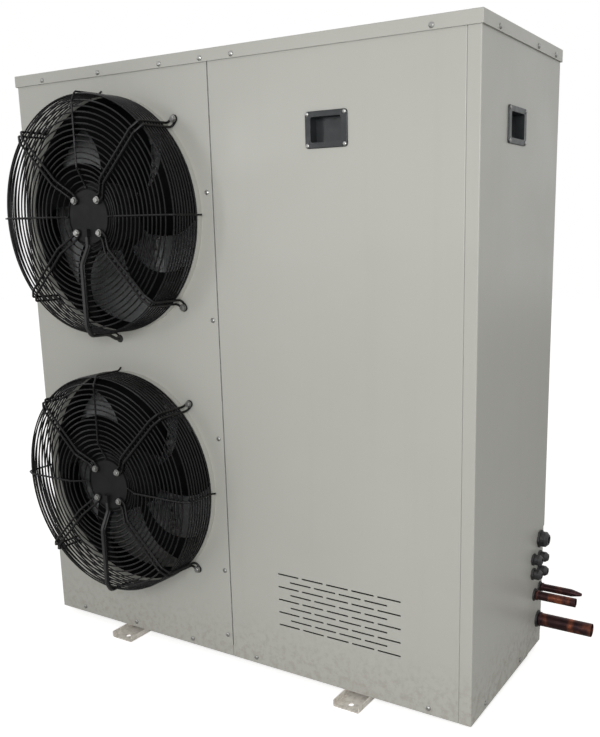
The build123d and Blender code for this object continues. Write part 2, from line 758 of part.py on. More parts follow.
with BuildPart() as service_panel:
    panel_left, panel_right = FAN_SEAM + SEAM / 2, STRIP_EDGE - SEAM / 2
    add(
        upright(
            [
                (panel_left, FRONT + SMALL_RETURN),
                (panel_left, FRONT),
                (panel_right, FRONT),
                (panel_right, FRONT + SMALL_RETURN),
            ],
            BOTTOM,
            PANEL_TOP,
        )
    )
    with Locations(((panel_left + panel_right) / 2, FRONT + SHEET, BOTTOM)):
        Box(
            panel_right - panel_left,
            SMALL_RETURN,
            PAN_RIM + FIT,
            align=(Align.CENTER, Align.MIN, Align.MIN),
            mode=Mode.SUBTRACT,
        )
    with BuildSketch(front_handle_plane):
        RectangleRounded(CUP_W + 2 * FIT, CUP_H + 2 * FIT, CUP_CORNER)
        with GridLocations(*HANDLE_SCREW_PITCH, 2, 2):
            Circle(HANDLE_SCREW_R + WELD_GAP)
    extrude(amount=-SHEET, mode=Mode.SUBTRACT)
    with BuildSketch(facing(SLOTS_X, FRONT, BOTTOM + SLOTS_H_ABOVE, TO_FRONT)):
        for row in range(SLOT_ROWS):
            with Locations((0, (row - (SLOT_ROWS - 1) / 2) * SLOT_ROW_PITCH)):
                with GridLocations(SLOT_PITCH, 1, 5 - row % 2, 1):
                    SlotOverall(SLOT_L, SLOT_H)
    extrude(amount=-SHEET, mode=Mode.SUBTRACT)
    add(HOLES, mode=Mode.SUBTRACT)
save(service_panel.part, "service_panel")

CUT_EDGE_Y = BACK - CORNER_CUT_W
CUT_TOP = BOTTOM + CORNER_CUT_H
with BuildPart() as side_panel:
    side_run = [(STRIP_EDGE, FRONT), (RIGHT, FRONT), (RIGHT, BACK), (RIGHT - REAR_RETURN, BACK)]
    add(upright(side_run, BOTTOM, PANEL_TOP))
    with BuildSketch(side_handle_plane):
        RectangleRounded(CUP_W + 2 * FIT, CUP_H + 2 * FIT, CUP_CORNER)
        with GridLocations(*HANDLE_SCREW_PITCH, 2, 2):
            Circle(HANDLE_SCREW_R + WELD_GAP)
    extrude(amount=-SHEET, mode=Mode.SUBTRACT)
    with Locations((RIGHT, BACK, BOTTOM)):
        Box(4 * REAR_RETURN, 2 * CORNER_CUT_W, 2 * CORNER_CUT_H, mode=Mode.SUBTRACT)
    add(HOLES, mode=Mode.SUBTRACT)
save(side_panel.part, "side_panel")

COIL_END_X = PARTITION_X - SHEET - END_PLATE_T
with BuildPart() as rear_panel:
    add(upright([(RIGHT - REAR_RETURN - SEAM, BACK), (COIL_END_X, BACK)], BOTTOM, PANEL_TOP))
    add(HOLES, mode=Mode.SUBTRACT)
save(rear_panel.part, "rear_panel")

POST_W = 30.0
with BuildPart() as corner_post:
    add(upright([(LEFT + POST_W, BACK), (LEFT, BACK), (LEFT, BACK - POST_W)], BOTTOM, PANEL_TOP))
    add(HOLES, mode=Mode.SUBTRACT)
save(corner_post.part, "corner_post")

COIL_BACK_Y = BACK - COIL_INSET
COIL_LEFT_X = LEFT + COIL_INSET
COIL_FRONT_Y = FRONT + LEFT_RETURN + COIL_BEHIND
COIL_TOP = PANEL_TOP - COIL_TOP_GAP
PLATE_LIP = 10.0
with BuildPart() as partition_plate:
    partition_run = [
        (PARTITION_X - PARTITION_FLANGE, FRONT + SHEET),
        (PARTITION_X, FRONT + SHEET),
        (PARTITION_X, COIL_BACK_Y - COIL_T),
    ]
    add(upright(partition_run, PAN_FLOOR, PANEL_TOP - FIT))
    with Locations((PARTITION_X, FRONT, PAN_FLOOR)):
        notch_depth = SHEET + PAN_T + 2 * FIT
        Box(3 * PARTITION_FLANGE, 2 * notch_depth, 2 * (PAN_TOP + FIT - PAN_FLOOR), mode=Mode.SUBTRACT)
    add(HOLES, mode=Mode.SUBTRACT)
save(partition_plate.part, "partition_plate")

with BuildPart() as condenser_fins:
    add(
        upright(
            [(COIL_END_X, COIL_BACK_Y), (COIL_LEFT_X, COIL_BACK_Y), (COIL_LEFT_X, COIL_FRONT_Y)],
            PAN_FLOOR,
            COIL_TOP,
            thickness=COIL_T,
            bend=COIL_BEND,
        )
    )
save(condenser_fins.part, "condenser_fins")

PLATE_GAP = 1.5
with BuildPart() as coil_end_plates:
    with Locations((COIL_END_X, COIL_BACK_Y + PLATE_GAP, PAN_FLOOR)):
        Box(
            END_PLATE_T,
            COIL_T + PLATE_LIP + PLATE_GAP,
            COIL_TOP + COIL_TOP_GAP - FIT - PAN_FLOOR,
            align=(Align.MIN, Align.MAX, Align.MIN),
        )
    with Locations((COIL_LEFT_X - PLATE_GAP, COIL_FRONT_Y, PAN_FLOOR)):
        Box(
            COIL_T + PLATE_LIP + PLATE_GAP,
            END_PLATE_T,
            COIL_TOP + COIL_TOP_GAP - FIT - PAN_FLOOR,
            align=(Align.MIN, Align.MAX, Align.MIN),
        )
save(coil_end_plates.part, "coil_end_plates")

with BuildPart() as return_bend:
    with BuildSketch(Plane.YZ):
        with Locations((0, BEND_TUBE_PITCH / 2)):
            RegularPolygon(BEND_TUBE_D / 2, 8)
    revolve(axis=Axis.Y, revolution_arc=180)

COIL_ROWS = [COIL_T / 4, 3 * COIL_T / 4]
BEND_HEIGHTS = [PAN_FLOOR + 2 * BEND_TUBE_PITCH * (i + 0.75) for i in range(RETURN_BENDS)]
bend_places = []
for row in COIL_ROWS:
    for height in BEND_HEIGHTS:
        bend_places.append(Location((COIL_END_X + END_PLATE_T, COIL_BACK_Y - row, height)))
return_bends = Compound([return_bend.part.moved(place) for place in bend_places])
save(return_bends, "return_bends")

HEADER_X = 30.0
HEADER_Y = COIL_BACK_Y - COIL_T / 2
HEADER_D = 22.0
GAS_HEADER = (700.0, 1150.0)
LIQUID_HEADER = (120.0, 400.0)
FEEDERS = 5
with BuildPart() as coil_headers:
    for low, high in (LIQUID_HEADER, GAS_HEADER):
        with Locations((HEADER_X, HEADER_Y, low)):
            Cylinder(HEADER_D / 2, high - low, align=(Align.CENTER, Align.CENTER, Align.MIN))
        for i in range(FEEDERS):
            feeder_z = low + (high - low) * (i + 0.5) / FEEDERS
            feeder_run = [(HEADER_X, HEADER_Y, feeder_z), (COIL_END_X + END_PLATE_T, HEADER_Y, feeder_z)]
            add(tube(feeder_run, BEND_TUBE_D, bend=0))
save(coil_headers.part, "coil_headers")

# The pipe plate closes the cut-out corner and carries the glands and pipe grommets
PLATE_X = RIGHT - SHEET
plate_screw_z = PAN_TOP + FIT
PIPE_ENDS = [(SUCTION_D, SUCTION_YZ), (LIQUID_D, LIQUID_YZ), (CHARGE_D, CHARGE_YZ)]
with BuildPart() as pipe_plate:
    add(
        upright(
            [
                (PLATE_X, CUT_EDGE_Y - PLATE_LAP),
                (PLATE_X, BACK - SHEET),
                (PLATE_X - REAR_RETURN - 2 * PLATE_LAP, BACK - SHEET),
            ],
            plate_screw_z,
            CUT_TOP + PLATE_LAP,
            thickness=PAN_T,
        )
    )
    with BuildSketch(facing(PLATE_X, 0, 0, TO_RIGHT)):
        for diameter, (y, z) in PIPE_ENDS:
            with Locations((y, z)):
                Circle(diameter / 2 + GROMMET_WALL - GROOVE_DEPTH)
        with Locations(BIG_GLAND_YZ):
            Circle(BIG_GLAND_R * GLAND_THREAD + WELD_GAP)
        with Locations(*SMALL_GLANDS_YZ):
            Circle(SMALL_GLAND_R * GLAND_THREAD + WELD_GAP)
    extrude(amount=-2 * PAN_T, mode=Mode.SUBTRACT)
save(pipe_plate.part, "pipe_plate")


def gland(radius):
    """A cable gland: hexagon foot, domed cap nut, and a thread with a locknut behind the plate."""
    nut_r = radius * GLAND_NUT
    cap_r = radius * GLAND_CAP
    with BuildPart() as body:
        with BuildSketch():
            RegularPolygon(nut_r, 6, major_radius=False)
        extrude(amount=GLAND_FOOT_H)
        with BuildSketch(Plane.XY.offset(-PAN_T)):
            RegularPolygon(nut_r, 6, major_radius=False)
        extrude(amount=-GLAND_LOCKNUT_H)
        Cylinder(radius * GLAND_THREAD, 2 * (PAN_T + GLAND_LOCKNUT_H + 2))
        add(
            turned(
                [
                    (0, GLAND_FOOT_H),
                    (cap_r - 1, GLAND_FOOT_H),
                    (cap_r, GLAND_FOOT_H + 1),
                    (cap_r, GLAND_H - 6),
                    (radius * 0.6, GLAND_H),
                    (0, GLAND_H),
                ],
            )
        )
        Cylinder(radius * GLAND_BORE, 4 * GLAND_H, mode=Mode.SUBTRACT)
    return body.part


with BuildPart() as cable_glands:
    with Locations(facing(PLATE_X, *BIG_GLAND_YZ, TO_RIGHT).location):
        add(gland(BIG_GLAND_R))
    small_gland = gland(SMALL_GLAND_R)
    with Locations(*[facing(PLATE_X, y, z, TO_RIGHT).location for y, z in SMALL_GLANDS_YZ]):
        add(small_gland)
save(cable_glands.part, "cable_glands")

with BuildPart() as pipe_grommets:
    for diameter, (y, z) in PIPE_ENDS:
        bore, outside = diameter / 2 + GROMMET_FIT, diameter / 2 + GROMMET_WALL
        groove = outside - GROOVE_DEPTH - GROMMET_FIT
        with Locations(facing(PLATE_X, y, z, TO_RIGHT).location):
            add(
                turned(
                    [
                        (bore, -PAN_T - GROMMET_LIP),
                        (outside, -PAN_T - GROMMET_LIP),
                        (outside, -PAN_T),
                        (groove, -PAN_T),
                        (groove, 0),
                        (outside, 0),
                        (outside - GROMMET_LIP / 2, 1.5 * GROMMET_LIP),
                        (bore, 2 * GROMMET_LIP),
                    ]
                )
            )
save(pipe_grommets.part, "pipe_grommets")

# Compressor and its rubber feet
comp_x, comp_y = COMPRESSOR_XY
FOOT_Z = PAN_FLOOR + RUBBER_H
SHELL_Z = FOOT_Z + FOOT_PLATE_T
SUCTION_PORT_Z = SHELL_Z + SUCTION_PORT_H
SUCTION_PORT_X = comp_x + SHELL_R + PORT_L
DISCHARGE_X = comp_x - DISCHARGE_OFF
DISCHARGE_Z = SHELL_Z + SHELL_H + PORT_L
CENTRED_UP = (Align.CENTER, Align.CENTER, Align.MIN)

with BuildPart() as compressor:
    with Locations((comp_x, comp_y, SHELL_Z)):
        shell_run = [(0, 0), (SHELL_R, 0), (SHELL_R, SHELL_H), (0, SHELL_H)]
        add(turned(shell_run, radii=[0, SHELL_FOOT_BEND, SHELL_TOP_BEND, 0]))
    port_run = [(comp_x, comp_y, SUCTION_PORT_Z), (SUCTION_PORT_X, comp_y, SUCTION_PORT_Z)]
    add(tube(port_run, SUCTION_TUBE_D + 2 * PORT_WALL, bend=0))
    with Locations((DISCHARGE_X, comp_y, DISCHARGE_Z)):
        Cylinder(TUBE_D / 2 + PORT_WALL, SHELL_R, align=(Align.CENTER, Align.CENTER, Align.MAX))
    with BuildSketch(Plane((comp_x, comp_y, FOOT_Z))):
        RectangleRounded(FOOT_PLATE, FOOT_PLATE, (FOOT_PLATE - FOOT_PITCH) / 2)
        with GridLocations(FOOT_PITCH, FOOT_PITCH, 2, 2):
            Circle(M10_BOLT[0] + FOOT_PLAY, mode=Mode.SUBTRACT)
    extrude(amount=FOOT_PLATE_T)
save(compressor.part, "compressor")

with BuildPart() as rubber_feet:
    with Locations((comp_x, comp_y, PAN_FLOOR)):
        with GridLocations(FOOT_PITCH, FOOT_PITCH, 2, 2):
            rubber_bore = M10_BOLT[0] + FOOT_PLAY / 2
            add(
                turned(
                    [
                        (rubber_bore, 0),
                        (RUBBER_R, 0),
                        (RUBBER_R, RUBBER_H / 2 - RUBBER_WAIST),
                        (RUBBER_R - RUBBER_WAIST, RUBBER_H / 2),
                        (RUBBER_R, RUBBER_H / 2 + RUBBER_WAIST),
                        (RUBBER_R, RUBBER_H),
                        (rubber_bore, RUBBER_H),
                    ],
                )
            )
save(rubber_feet.part, "rubber_feet")

with BuildPart() as compressor_bolts:
    with Locations((comp_x, comp_y, 0)):
        with GridLocations(FOOT_PITCH, FOOT_PITCH, 2, 2):
            add(hex_bolt(SHELL_Z, SHELL_Z - PAN_FLOOR, *M10_BOLT))
save(compressor_bolts.part, "compressor_bolts")

with BuildPart() as compressor_terminals:
    with Locations((comp_x, comp_y - SHELL_R, SHELL_Z + TERMINAL_COVER_H)):
        Box(*TERMINAL_COVER, align=(Align.CENTER, Align.MAX, Align.CENTER))
    fillet(compressor_terminals.edges().filter_by(Axis.Y), radius=8)
save(compressor_terminals.part, "compressor_terminals")

# Suction accumulator and liquid receiver, their ports PORT_SPREAD either side of the middle
acc_x, acc_y = ACCUMULATOR_XY
rec_x, rec_y = RECEIVER_XY


def port_places(x, y):
    """The middles of a vessel's two ports."""
    return [(x - PORT_SPREAD, y), (x + PORT_SPREAD, y)]


def bead(diameter, yz):
    """A bead rolled into a pipe stub just outside its grommet, so that the stub can't be pushed in."""
    r = diameter / 2
    section = [
        (r - PIPE_WALL / 2, 0),
        (r, 0),
        (r + BEAD_OUT, BEAD_L / 3),
        (r + BEAD_OUT, BEAD_L * 2 / 3),
        (r, BEAD_L),
        (r - PIPE_WALL / 2, BEAD_L),
    ]
    place = facing(PLATE_X + 2 * GROMMET_LIP + FIT, *yz, TO_RIGHT).location
    return turned(section).moved(place)


with BuildPart() as suction_accumulator:
    acc_z = PAN_FLOOR + ACCUMULATOR_LEG
    with Locations((acc_x, acc_y, acc_z)):
        acc_h = ACCUMULATOR_TOP - PORT_L - acc_z
        acc_run = [(0, 0), (ACCUMULATOR_R, 0), (ACCUMULATOR_R, acc_h), (0, acc_h)]
        add(turned(acc_run, radii=[0, ACCUMULATOR_R / 2, ACCUMULATOR_R / 2.5, 0]))
    with Locations((acc_x, acc_y, PAN_FLOOR)):
        Cylinder(ACCUMULATOR_R * 0.44, ACCUMULATOR_LEG + 15, align=CENTRED_UP)
        Cylinder(ACCUMULATOR_R * 0.72, 4, align=CENTRED_UP)
    with Locations(*[(x, y, ACCUMULATOR_TOP) for x, y in port_places(acc_x, acc_y)]):
        Cylinder(SUCTION_D / 2 + PORT_WALL / 2, 2 * PORT_L, align=(Align.CENTER, Align.CENTER, Align.MAX))
save(suction_accumulator.part, "suction_accumulator")

with BuildPart() as liquid_receiver:
    rec_z = PAN_FLOOR + RECEIVER_LEG
    with Locations((rec_x, rec_y, rec_z)):
        rec_h = RECEIVER_TOP - PORT_L - rec_z
        rec_run = [(0, 0), (RECEIVER_R, 0), (RECEIVER_R, rec_h), (0, rec_h)]
        add(turned(rec_run, radii=[0, RECEIVER_R / 2, RECEIVER_R / 2, 0]))
    with Locations((rec_x, rec_y, PAN_FLOOR)):
        add(
            turned(
                [
                    (RECEIVER_R + SKIRT_OUT, 0),
                    (RECEIVER_R + SKIRT_OUT, SKIRT_T),
                    (RECEIVER_R - SKIRT_IN, SKIRT_T),
                    (RECEIVER_R - SKIRT_IN, SKIRT_H),
                    (RECEIVER_R - SKIRT_IN - SKIRT_T, SKIRT_H),
                    (RECEIVER_R - SKIRT_IN - SKIRT_T, 0),
                ]
            )
        )
    with Locations(*[(x, y, RECEIVER_TOP) for x, y in port_places(rec_x, rec_y)]):
        Cylinder(TUBE_D / 2 + PORT_WALL, 2.5 * PORT_L, align=(Align.CENTER, Align.CENTER, Align.MAX))
save(liquid_receiver.part, "liquid_receiver")

# Pipes
DRIER_XY = (505.0, 20.0)
DRIER_TOP, DRIER_BOTTOM = 445.0, 290.0
DRIER_NECK_L = 12.0
SIGHT_BOTTOM = DRIER_BOTTOM - 50.0
SIGHT_DEPTH = 22.0
SIGHT_ACROSS = 30.0
PIPE_ARCH = 70.0
NARROW_ARCH = 50.0
LIQUID_RUN_Z = 560.0
GAS_RUN_Z = 620.0
CHARGE_X = 470.0
CHARGE_TEE_Y = 100.0
acc_in, acc_out = port_places(acc_x, acc_y)[1], port_places(acc_x, acc_y)[0]
rec_in, rec_out = port_places(rec_x, rec_y)

with BuildPart() as suction_pipe:
    suction_y, suction_z = SUCTION_YZ
    add(
        tube(
            [
                (SUCTION_END, suction_y, suction_z),
                (acc_in[0], suction_y, suction_z),
                (acc_in[0], suction_y, ACCUMULATOR_TOP + PIPE_ARCH),
                (*acc_in, ACCUMULATOR_TOP + PIPE_ARCH),
                (*acc_in, ACCUMULATOR_TOP),
            ],
            SUCTION_D,
            bend=36,
            wall=PIPE_WALL,
        )
    )
    add(bead(SUCTION_D, SUCTION_YZ))
save(suction_pipe.part, "suction_pipe")

with BuildPart() as return_gas_pipe:
    add(
        tube(
            [
                (SUCTION_PORT_X, comp_y, SUCTION_PORT_Z),
                (acc_out[0], comp_y, SUCTION_PORT_Z),
                (*acc_out, SUCTION_PORT_Z),
                (*acc_out, ACCUMULATOR_TOP),
            ],
            SUCTION_TUBE_D,
            bend=28,
            wall=PIPE_WALL,
        )
    )
save(return_gas_pipe.part, "return_gas_pipe")

with BuildPart() as discharge_pipe:
    add(
        tube(
            [
                (DISCHARGE_X, comp_y, DISCHARGE_Z),
                (DISCHARGE_X, comp_y, GAS_RUN_Z),
                (DISCHARGE_X, HEADER_Y, GAS_RUN_Z),
                (HEADER_X, HEADER_Y, GAS_RUN_Z),
                (HEADER_X, HEADER_Y, GAS_HEADER[0]),
            ],
            TUBE_D,
            bend=32,
            wall=PIPE_WALL,
        )
    )
save(discharge_pipe.part, "discharge_pipe")

with BuildPart() as condensate_pipe:
    add(
        tube(
            [
                (HEADER_X, HEADER_Y, LIQUID_HEADER[1]),
                (HEADER_X, HEADER_Y, LIQUID_RUN_Z),
                (rec_in[0], HEADER_Y, LIQUID_RUN_Z),
                (*rec_in, LIQUID_RUN_Z),
                (*rec_in, RECEIVER_TOP),
            ],
            TUBE_D,
            bend=32,
            wall=PIPE_WALL,
        )
    )
save(condensate_pipe.part, "condensate_pipe")

with BuildPart() as receiver_pipe:
    add(
        tube(
            [
                (*rec_out, RECEIVER_TOP),
                (*rec_out, RECEIVER_TOP + NARROW_ARCH),
                (DRIER_XY[0], rec_y, RECEIVER_TOP + NARROW_ARCH),
                (*DRIER_XY, RECEIVER_TOP + NARROW_ARCH),
                (*DRIER_XY, DRIER_TOP),
            ],
            TUBE_D,
            bend=26,
            wall=PIPE_WALL,
        )
    )
save(receiver_pipe.part, "receiver_pipe")

with BuildPart() as filter_drier:
    with Locations((*DRIER_XY, DRIER_BOTTOM)):
        drier_h = DRIER_TOP - DRIER_BOTTOM
        neck_r = LIQUID_D / 2 + PORT_WALL / 2
        add(
            turned(
                [
                    (0, 0),
                    (neck_r, 0),
                    (neck_r, DRIER_NECK_L),
                    (DRIER_R, 2 * DRIER_NECK_L),
                    (DRIER_R, drier_h - 2 * DRIER_NECK_L),
                    (neck_r, drier_h - DRIER_NECK_L),
                    (neck_r, drier_h),
                    (0, drier_h),
                ]
            )
        )
save(filter_drier.part, "filter_drier")

with BuildPart() as sight_glass:
    with Locations((*DRIER_XY, SIGHT_BOTTOM)):
        Cylinder(neck_r, DRIER_BOTTOM - SIGHT_BOTTOM, align=CENTRED_UP)
    sight_z = (SIGHT_BOTTOM + DRIER_BOTTOM) / 2
    with BuildSketch(facing(DRIER_XY[0], DRIER_XY[1] - SIGHT_DEPTH, sight_z, TO_FRONT)):
        RegularPolygon(SIGHT_ACROSS / 2, 6, major_radius=False)
    extrude(amount=-SIGHT_DEPTH)
save(sight_glass.part, "sight_glass")

with BuildPart() as liquid_pipe:
    liquid_y, liquid_z = LIQUID_YZ
    add(
        tube(
            [
                (*DRIER_XY, SIGHT_BOTTOM),
                (*DRIER_XY, liquid_z),
                (DRIER_XY[0], liquid_y, liquid_z),
                (LIQUID_END, liquid_y, liquid_z),
            ],
            LIQUID_D,
            bend=30,
            wall=PIPE_WALL,
        )
    )
    add(bead(LIQUID_D, LIQUID_YZ))
save(liquid_pipe.part, "liquid_pipe")

PINCH_L = 22.0
with BuildPart() as charge_pipe:
    charge_y, charge_z = CHARGE_YZ
    pinch_start = CHARGE_END - PINCH_L
    add(
        tube(
            [
                (pinch_start, charge_y, charge_z),
                (CHARGE_X, charge_y, charge_z),
                (CHARGE_X, charge_y, GAS_RUN_Z),
                (CHARGE_X, CHARGE_TEE_Y, GAS_RUN_Z),
                (DISCHARGE_X + TUBE_D / 2, CHARGE_TEE_Y, GAS_RUN_Z),
            ],
            CHARGE_D,
            bend=30,
            wall=PIPE_WALL,
        )
    )
    add(bead(CHARGE_D, CHARGE_YZ))
    with BuildSketch(facing(pinch_start, charge_y, charge_z, TO_RIGHT)):
        Circle(CHARGE_D / 2)
    with BuildSketch(facing(pinch_start + PINCH_L / 2, charge_y, charge_z, TO_RIGHT)):
        Ellipse(CHARGE_D / 2 - 1, CHARGE_D / 2 - 2.5)
    with BuildSketch(facing(CHARGE_END, charge_y, charge_z, TO_RIGHT)):
        Ellipse(CHARGE_D / 2 - 4, CHARGE_D / 2 - 5)
    loft()
save(charge_pipe.part, "charge_pipe")

# Controls
BOX_BACK_Y = FRONT + BOX_BEHIND + BOX_D
BOX_MID = (PARTITION_X + BOX_W / 2, BOX_BACK_Y, BOX_Z + BOX_H / 2)
with BuildPart() as electric_box:
    with Locations((PARTITION_X, BOX_BACK_Y, BOX_Z)):
        Box(BOX_W, BOX_D, BOX_H, align=(Align.MIN, Align.MAX, Align.MIN))
    offset(amount=-SHEET, openings=electric_box.faces().sort_by(Axis.Y)[0])
save(electric_box.part, "electric_box")

with BuildPart() as contactors:
    with Locations((BOX_MID[0], BOX_BACK_Y - SHEET, BOX_MID[2] + 80)):
        with GridLocations(CONTACTOR_PITCH, 1, 3, 1):
            Box(*CONTACTOR, align=(Align.CENTER, Align.MAX, Align.CENTER))
            with Locations((0, -CONTACTOR[1], 0)):
                Box(*CONTACTOR_FACE, align=(Align.CENTER, Align.MAX, Align.CENTER))
save(contactors.part, "contactors")

with BuildPart() as terminal_block:
    with Locations((BOX_MID[0], BOX_BACK_Y - SHEET, BOX_MID[2] - 120)):
        Box(*TERMINALS, align=(Align.CENTER, Align.MAX, Align.CENTER))
        with Locations((0, -TERMINALS[1], 0)):
            with GridLocations(TERMINAL_PITCH, 1, 10, 1):
                Box(2, 24, TERMINALS[2], mode=Mode.SUBTRACT)
save(terminal_block.part, "terminal_block")

with BuildPart() as pressure_switch:
    switch_y, switch_z = comp_y - 20, GAS_RUN_Z - 60
    with Locations((PARTITION_X, switch_y, switch_z)):
        Box(*SWITCH, align=(Align.MIN, Align.CENTER, Align.CENTER))
    fillet(pressure_switch.edges().filter_by(Axis.X), radius=6)
    with Locations((PARTITION_X + SWITCH[0] / 2, switch_y, switch_z - SWITCH[2] / 2)):
        with GridLocations(1, SWITCH[1] / 2, 1, 2):
            Cylinder(13, 22, align=(Align.CENTER, Align.CENTER, Align.MAX))
            Cylinder(5, 36, align=(Align.CENTER, Align.CENTER, Align.MAX))
save(pressure_switch.part, "pressure_switch")

# Handles and screws
with BuildPart() as handle_cup:
    with BuildSketch():
        RectangleRounded(HANDLE_W, HANDLE_H, CUP_CORNER + 1)
    extrude(amount=HANDLE_RIM)
    fillet(handle_cup.faces().sort_by(Axis.Z)[-1].edges(), radius=HANDLE_RIM / 2)
    with BuildSketch():
        RectangleRounded(CUP_W, CUP_H, CUP_CORNER)
    extrude(amount=-HANDLE_DEPTH)
    with BuildSketch(Plane.XY.offset(HANDLE_RIM)):
        RectangleRounded(POCKET_W, POCKET_H, CUP_CORNER - 1)
    extrude(amount=-(HANDLE_RIM + HANDLE_DEPTH - HANDLE_WALL), mode=Mode.SUBTRACT)
    with BuildSketch():
        with GridLocations(*HANDLE_SCREW_PITCH, 2, 2):
            Circle(HANDLE_SCREW_R + WELD_GAP)
    extrude(amount=HANDLE_RIM, mode=Mode.SUBTRACT)

with BuildPart() as handle_screws:
    with Locations((0, 0, HANDLE_RIM)):
        with GridLocations(*HANDLE_SCREW_PITCH, 2, 2):
            add(pan_screw(HANDLE_RIM + SHEET + 1, HANDLE_SCREW_R, *HANDLE_SCREW_HEAD))

for name, plane in (("front", front_handle_plane), ("side", side_handle_plane)):
    with BuildPart() as placed:
        with Locations(plane.location):
            add(handle_cup.part)
    save(placed.part, f"{name}_handle")

with BuildPart() as placed:
    with Locations(front_handle_plane.location, side_handle_plane.location):
        add(handle_screws.part)
save(placed.part, "handle_screws")

with BuildPart() as casing_screws:
    with Locations(*[plane.location for plane in roof_screw_planes]):
        add(pan_screw(ROOF_SCREW_L))
    with Locations(*[plane.location for plane in panel_screw_planes]):
        add(pan_screw(PANEL_SCREW_L))
save(casing_screws.part, "casing_screws")
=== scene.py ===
"""Looks of the two-fan refrigeration condensing unit, laid out as an add-on and run as a script.

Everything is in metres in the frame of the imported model: +X to the right seen from the fans, +Y to the back
and +Z up. Each operator makes pieces of one kind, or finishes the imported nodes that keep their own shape.
"""

import bmesh
import bpy
import numpy as np
from bpy.props import FloatProperty, FloatVectorProperty, IntProperty, PointerProperty
from mathutils import Matrix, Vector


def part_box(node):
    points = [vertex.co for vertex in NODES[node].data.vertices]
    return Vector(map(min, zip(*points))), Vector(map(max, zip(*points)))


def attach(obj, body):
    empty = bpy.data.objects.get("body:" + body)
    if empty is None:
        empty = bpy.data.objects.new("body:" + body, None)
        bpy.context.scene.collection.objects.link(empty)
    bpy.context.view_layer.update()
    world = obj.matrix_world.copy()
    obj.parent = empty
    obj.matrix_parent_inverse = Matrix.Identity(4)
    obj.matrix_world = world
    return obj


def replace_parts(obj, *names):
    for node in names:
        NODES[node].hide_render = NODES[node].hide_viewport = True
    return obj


bl_info = {
    "name": "Condensing unit looks",
    "version": (1, 0, 0),
    "blender": (4, 5, 0),
    "location": "View3D > Sidebar > Condensing unit",
    "description": "Wire guards, fan blades, coil fins, glands and finishes of a two-fan condensing unit",
    "category": "Add Mesh",
}

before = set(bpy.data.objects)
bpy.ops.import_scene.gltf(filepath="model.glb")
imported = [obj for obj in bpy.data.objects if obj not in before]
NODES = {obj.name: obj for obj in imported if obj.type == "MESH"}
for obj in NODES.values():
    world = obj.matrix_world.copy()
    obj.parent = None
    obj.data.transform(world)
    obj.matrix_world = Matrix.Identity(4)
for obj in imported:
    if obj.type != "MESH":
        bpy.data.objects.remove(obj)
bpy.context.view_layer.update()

# Places and sizes that the solids fix
FRONT_Y = -0.2
FAN_X = -0.2815
FAN_HEIGHTS = {"lower": 0.384, "upper": 0.955}
HUB_HOLE_R = 0.046
GUARD_HUB_OUT = 0.0673
GUARD_OUT = 0.0868
GUARD_BACK_OUT = 0.016
EYELET_R = 0.261
ROTOR_R = 0.069
WELD_GAP = 0.0002
COIL_T = 0.044
COIL_CORNER_R = 0.104
COIL_ROWS = (0.011, 0.033)
TUBE_PITCH = 0.0254

# Edges that turn by more than this angle stay sharp, in radians
SHARP_EDGE = 0.7


class CasingLook(bpy.types.PropertyGroup):
    """Colours of the coated sheet metal."""

    colour: FloatVectorProperty(
        name="Casing", description="Powder coat of the panels",
        subtype="COLOR", size=4, default=(0.50, 0.50, 0.462, 1),
    )
    feet: FloatVectorProperty(
        name="Feet", description="Coat of the two foot rails",
        subtype="COLOR", size=4, default=(0.84, 0.80, 0.74, 1),
    )
    grain: FloatProperty(
        name="Orange peel", description="Height of the coat's waves", default=0.00004, unit="LENGTH"
    )


class GuardLook(bpy.types.PropertyGroup):
    """Sizes and colour of the wire guards."""

    rim_r: FloatProperty(
        name="Rim radius", description="Radius of the guard's side", default=0.2405, unit="LENGTH"
    )
    ring_wire: FloatProperty(
        name="Ring wire", description="Diameter of a ring", default=0.0032, unit="LENGTH"
    )
    arm_wire: FloatProperty(
        name="Arm wire", description="Diameter of a looped arm", default=0.005, unit="LENGTH"
    )
    spoke_wire: FloatProperty(
        name="Spoke wire", description="Diameter of a spoke", default=0.004, unit="LENGTH"
    )
    arm_pair: FloatProperty(
        name="Arm width", description="Between an arm's two wires", default=0.012, unit="LENGTH"
    )
    face_rings: IntProperty(name="Face rings", description="Rings over the face", default=16, min=4)
    first_ring_r: FloatProperty(
        name="First ring", description="Radius of the first ring", default=0.06, unit="LENGTH"
    )
    ring_pitch: FloatProperty(
        name="Ring pitch", description="Between face rings", default=0.011, unit="LENGTH"
    )
    side_rings: IntProperty(name="Side rings", description="Rings round the side", default=8, min=2)
    side_pitch: FloatProperty(
        name="Side pitch", description="Between side rings", default=0.00775, unit="LENGTH"
    )
    colour: FloatVectorProperty(
        name="Coat", description="Coat of the wires",
        subtype="COLOR", size=4, default=(0.006, 0.006, 0.0063, 1),
    )


class FanLook(bpy.types.PropertyGroup):
    """Sizes and colour of the fan blades."""

    blades: IntProperty(name="Blades", description="Blades on one fan", default=5, min=2)
    tip_r: FloatProperty(
        name="Tip radius", description="Radius of the blade tips", default=0.225, unit="LENGTH"
    )
    thickness: FloatProperty(
        name="Thickness", description="Thickest place of a blade", default=0.003, unit="LENGTH"
    )
    depth: FloatProperty(
        name="Depth",
        description="How far the blades' middle lies behind the panel",
        default=0.014,
        unit="LENGTH",
    )
    colour: FloatVectorProperty(
        name="Blades", description="Coat of the blades",
        subtype="COLOR", size=4, default=(0.003, 0.003, 0.0033, 1),
    )


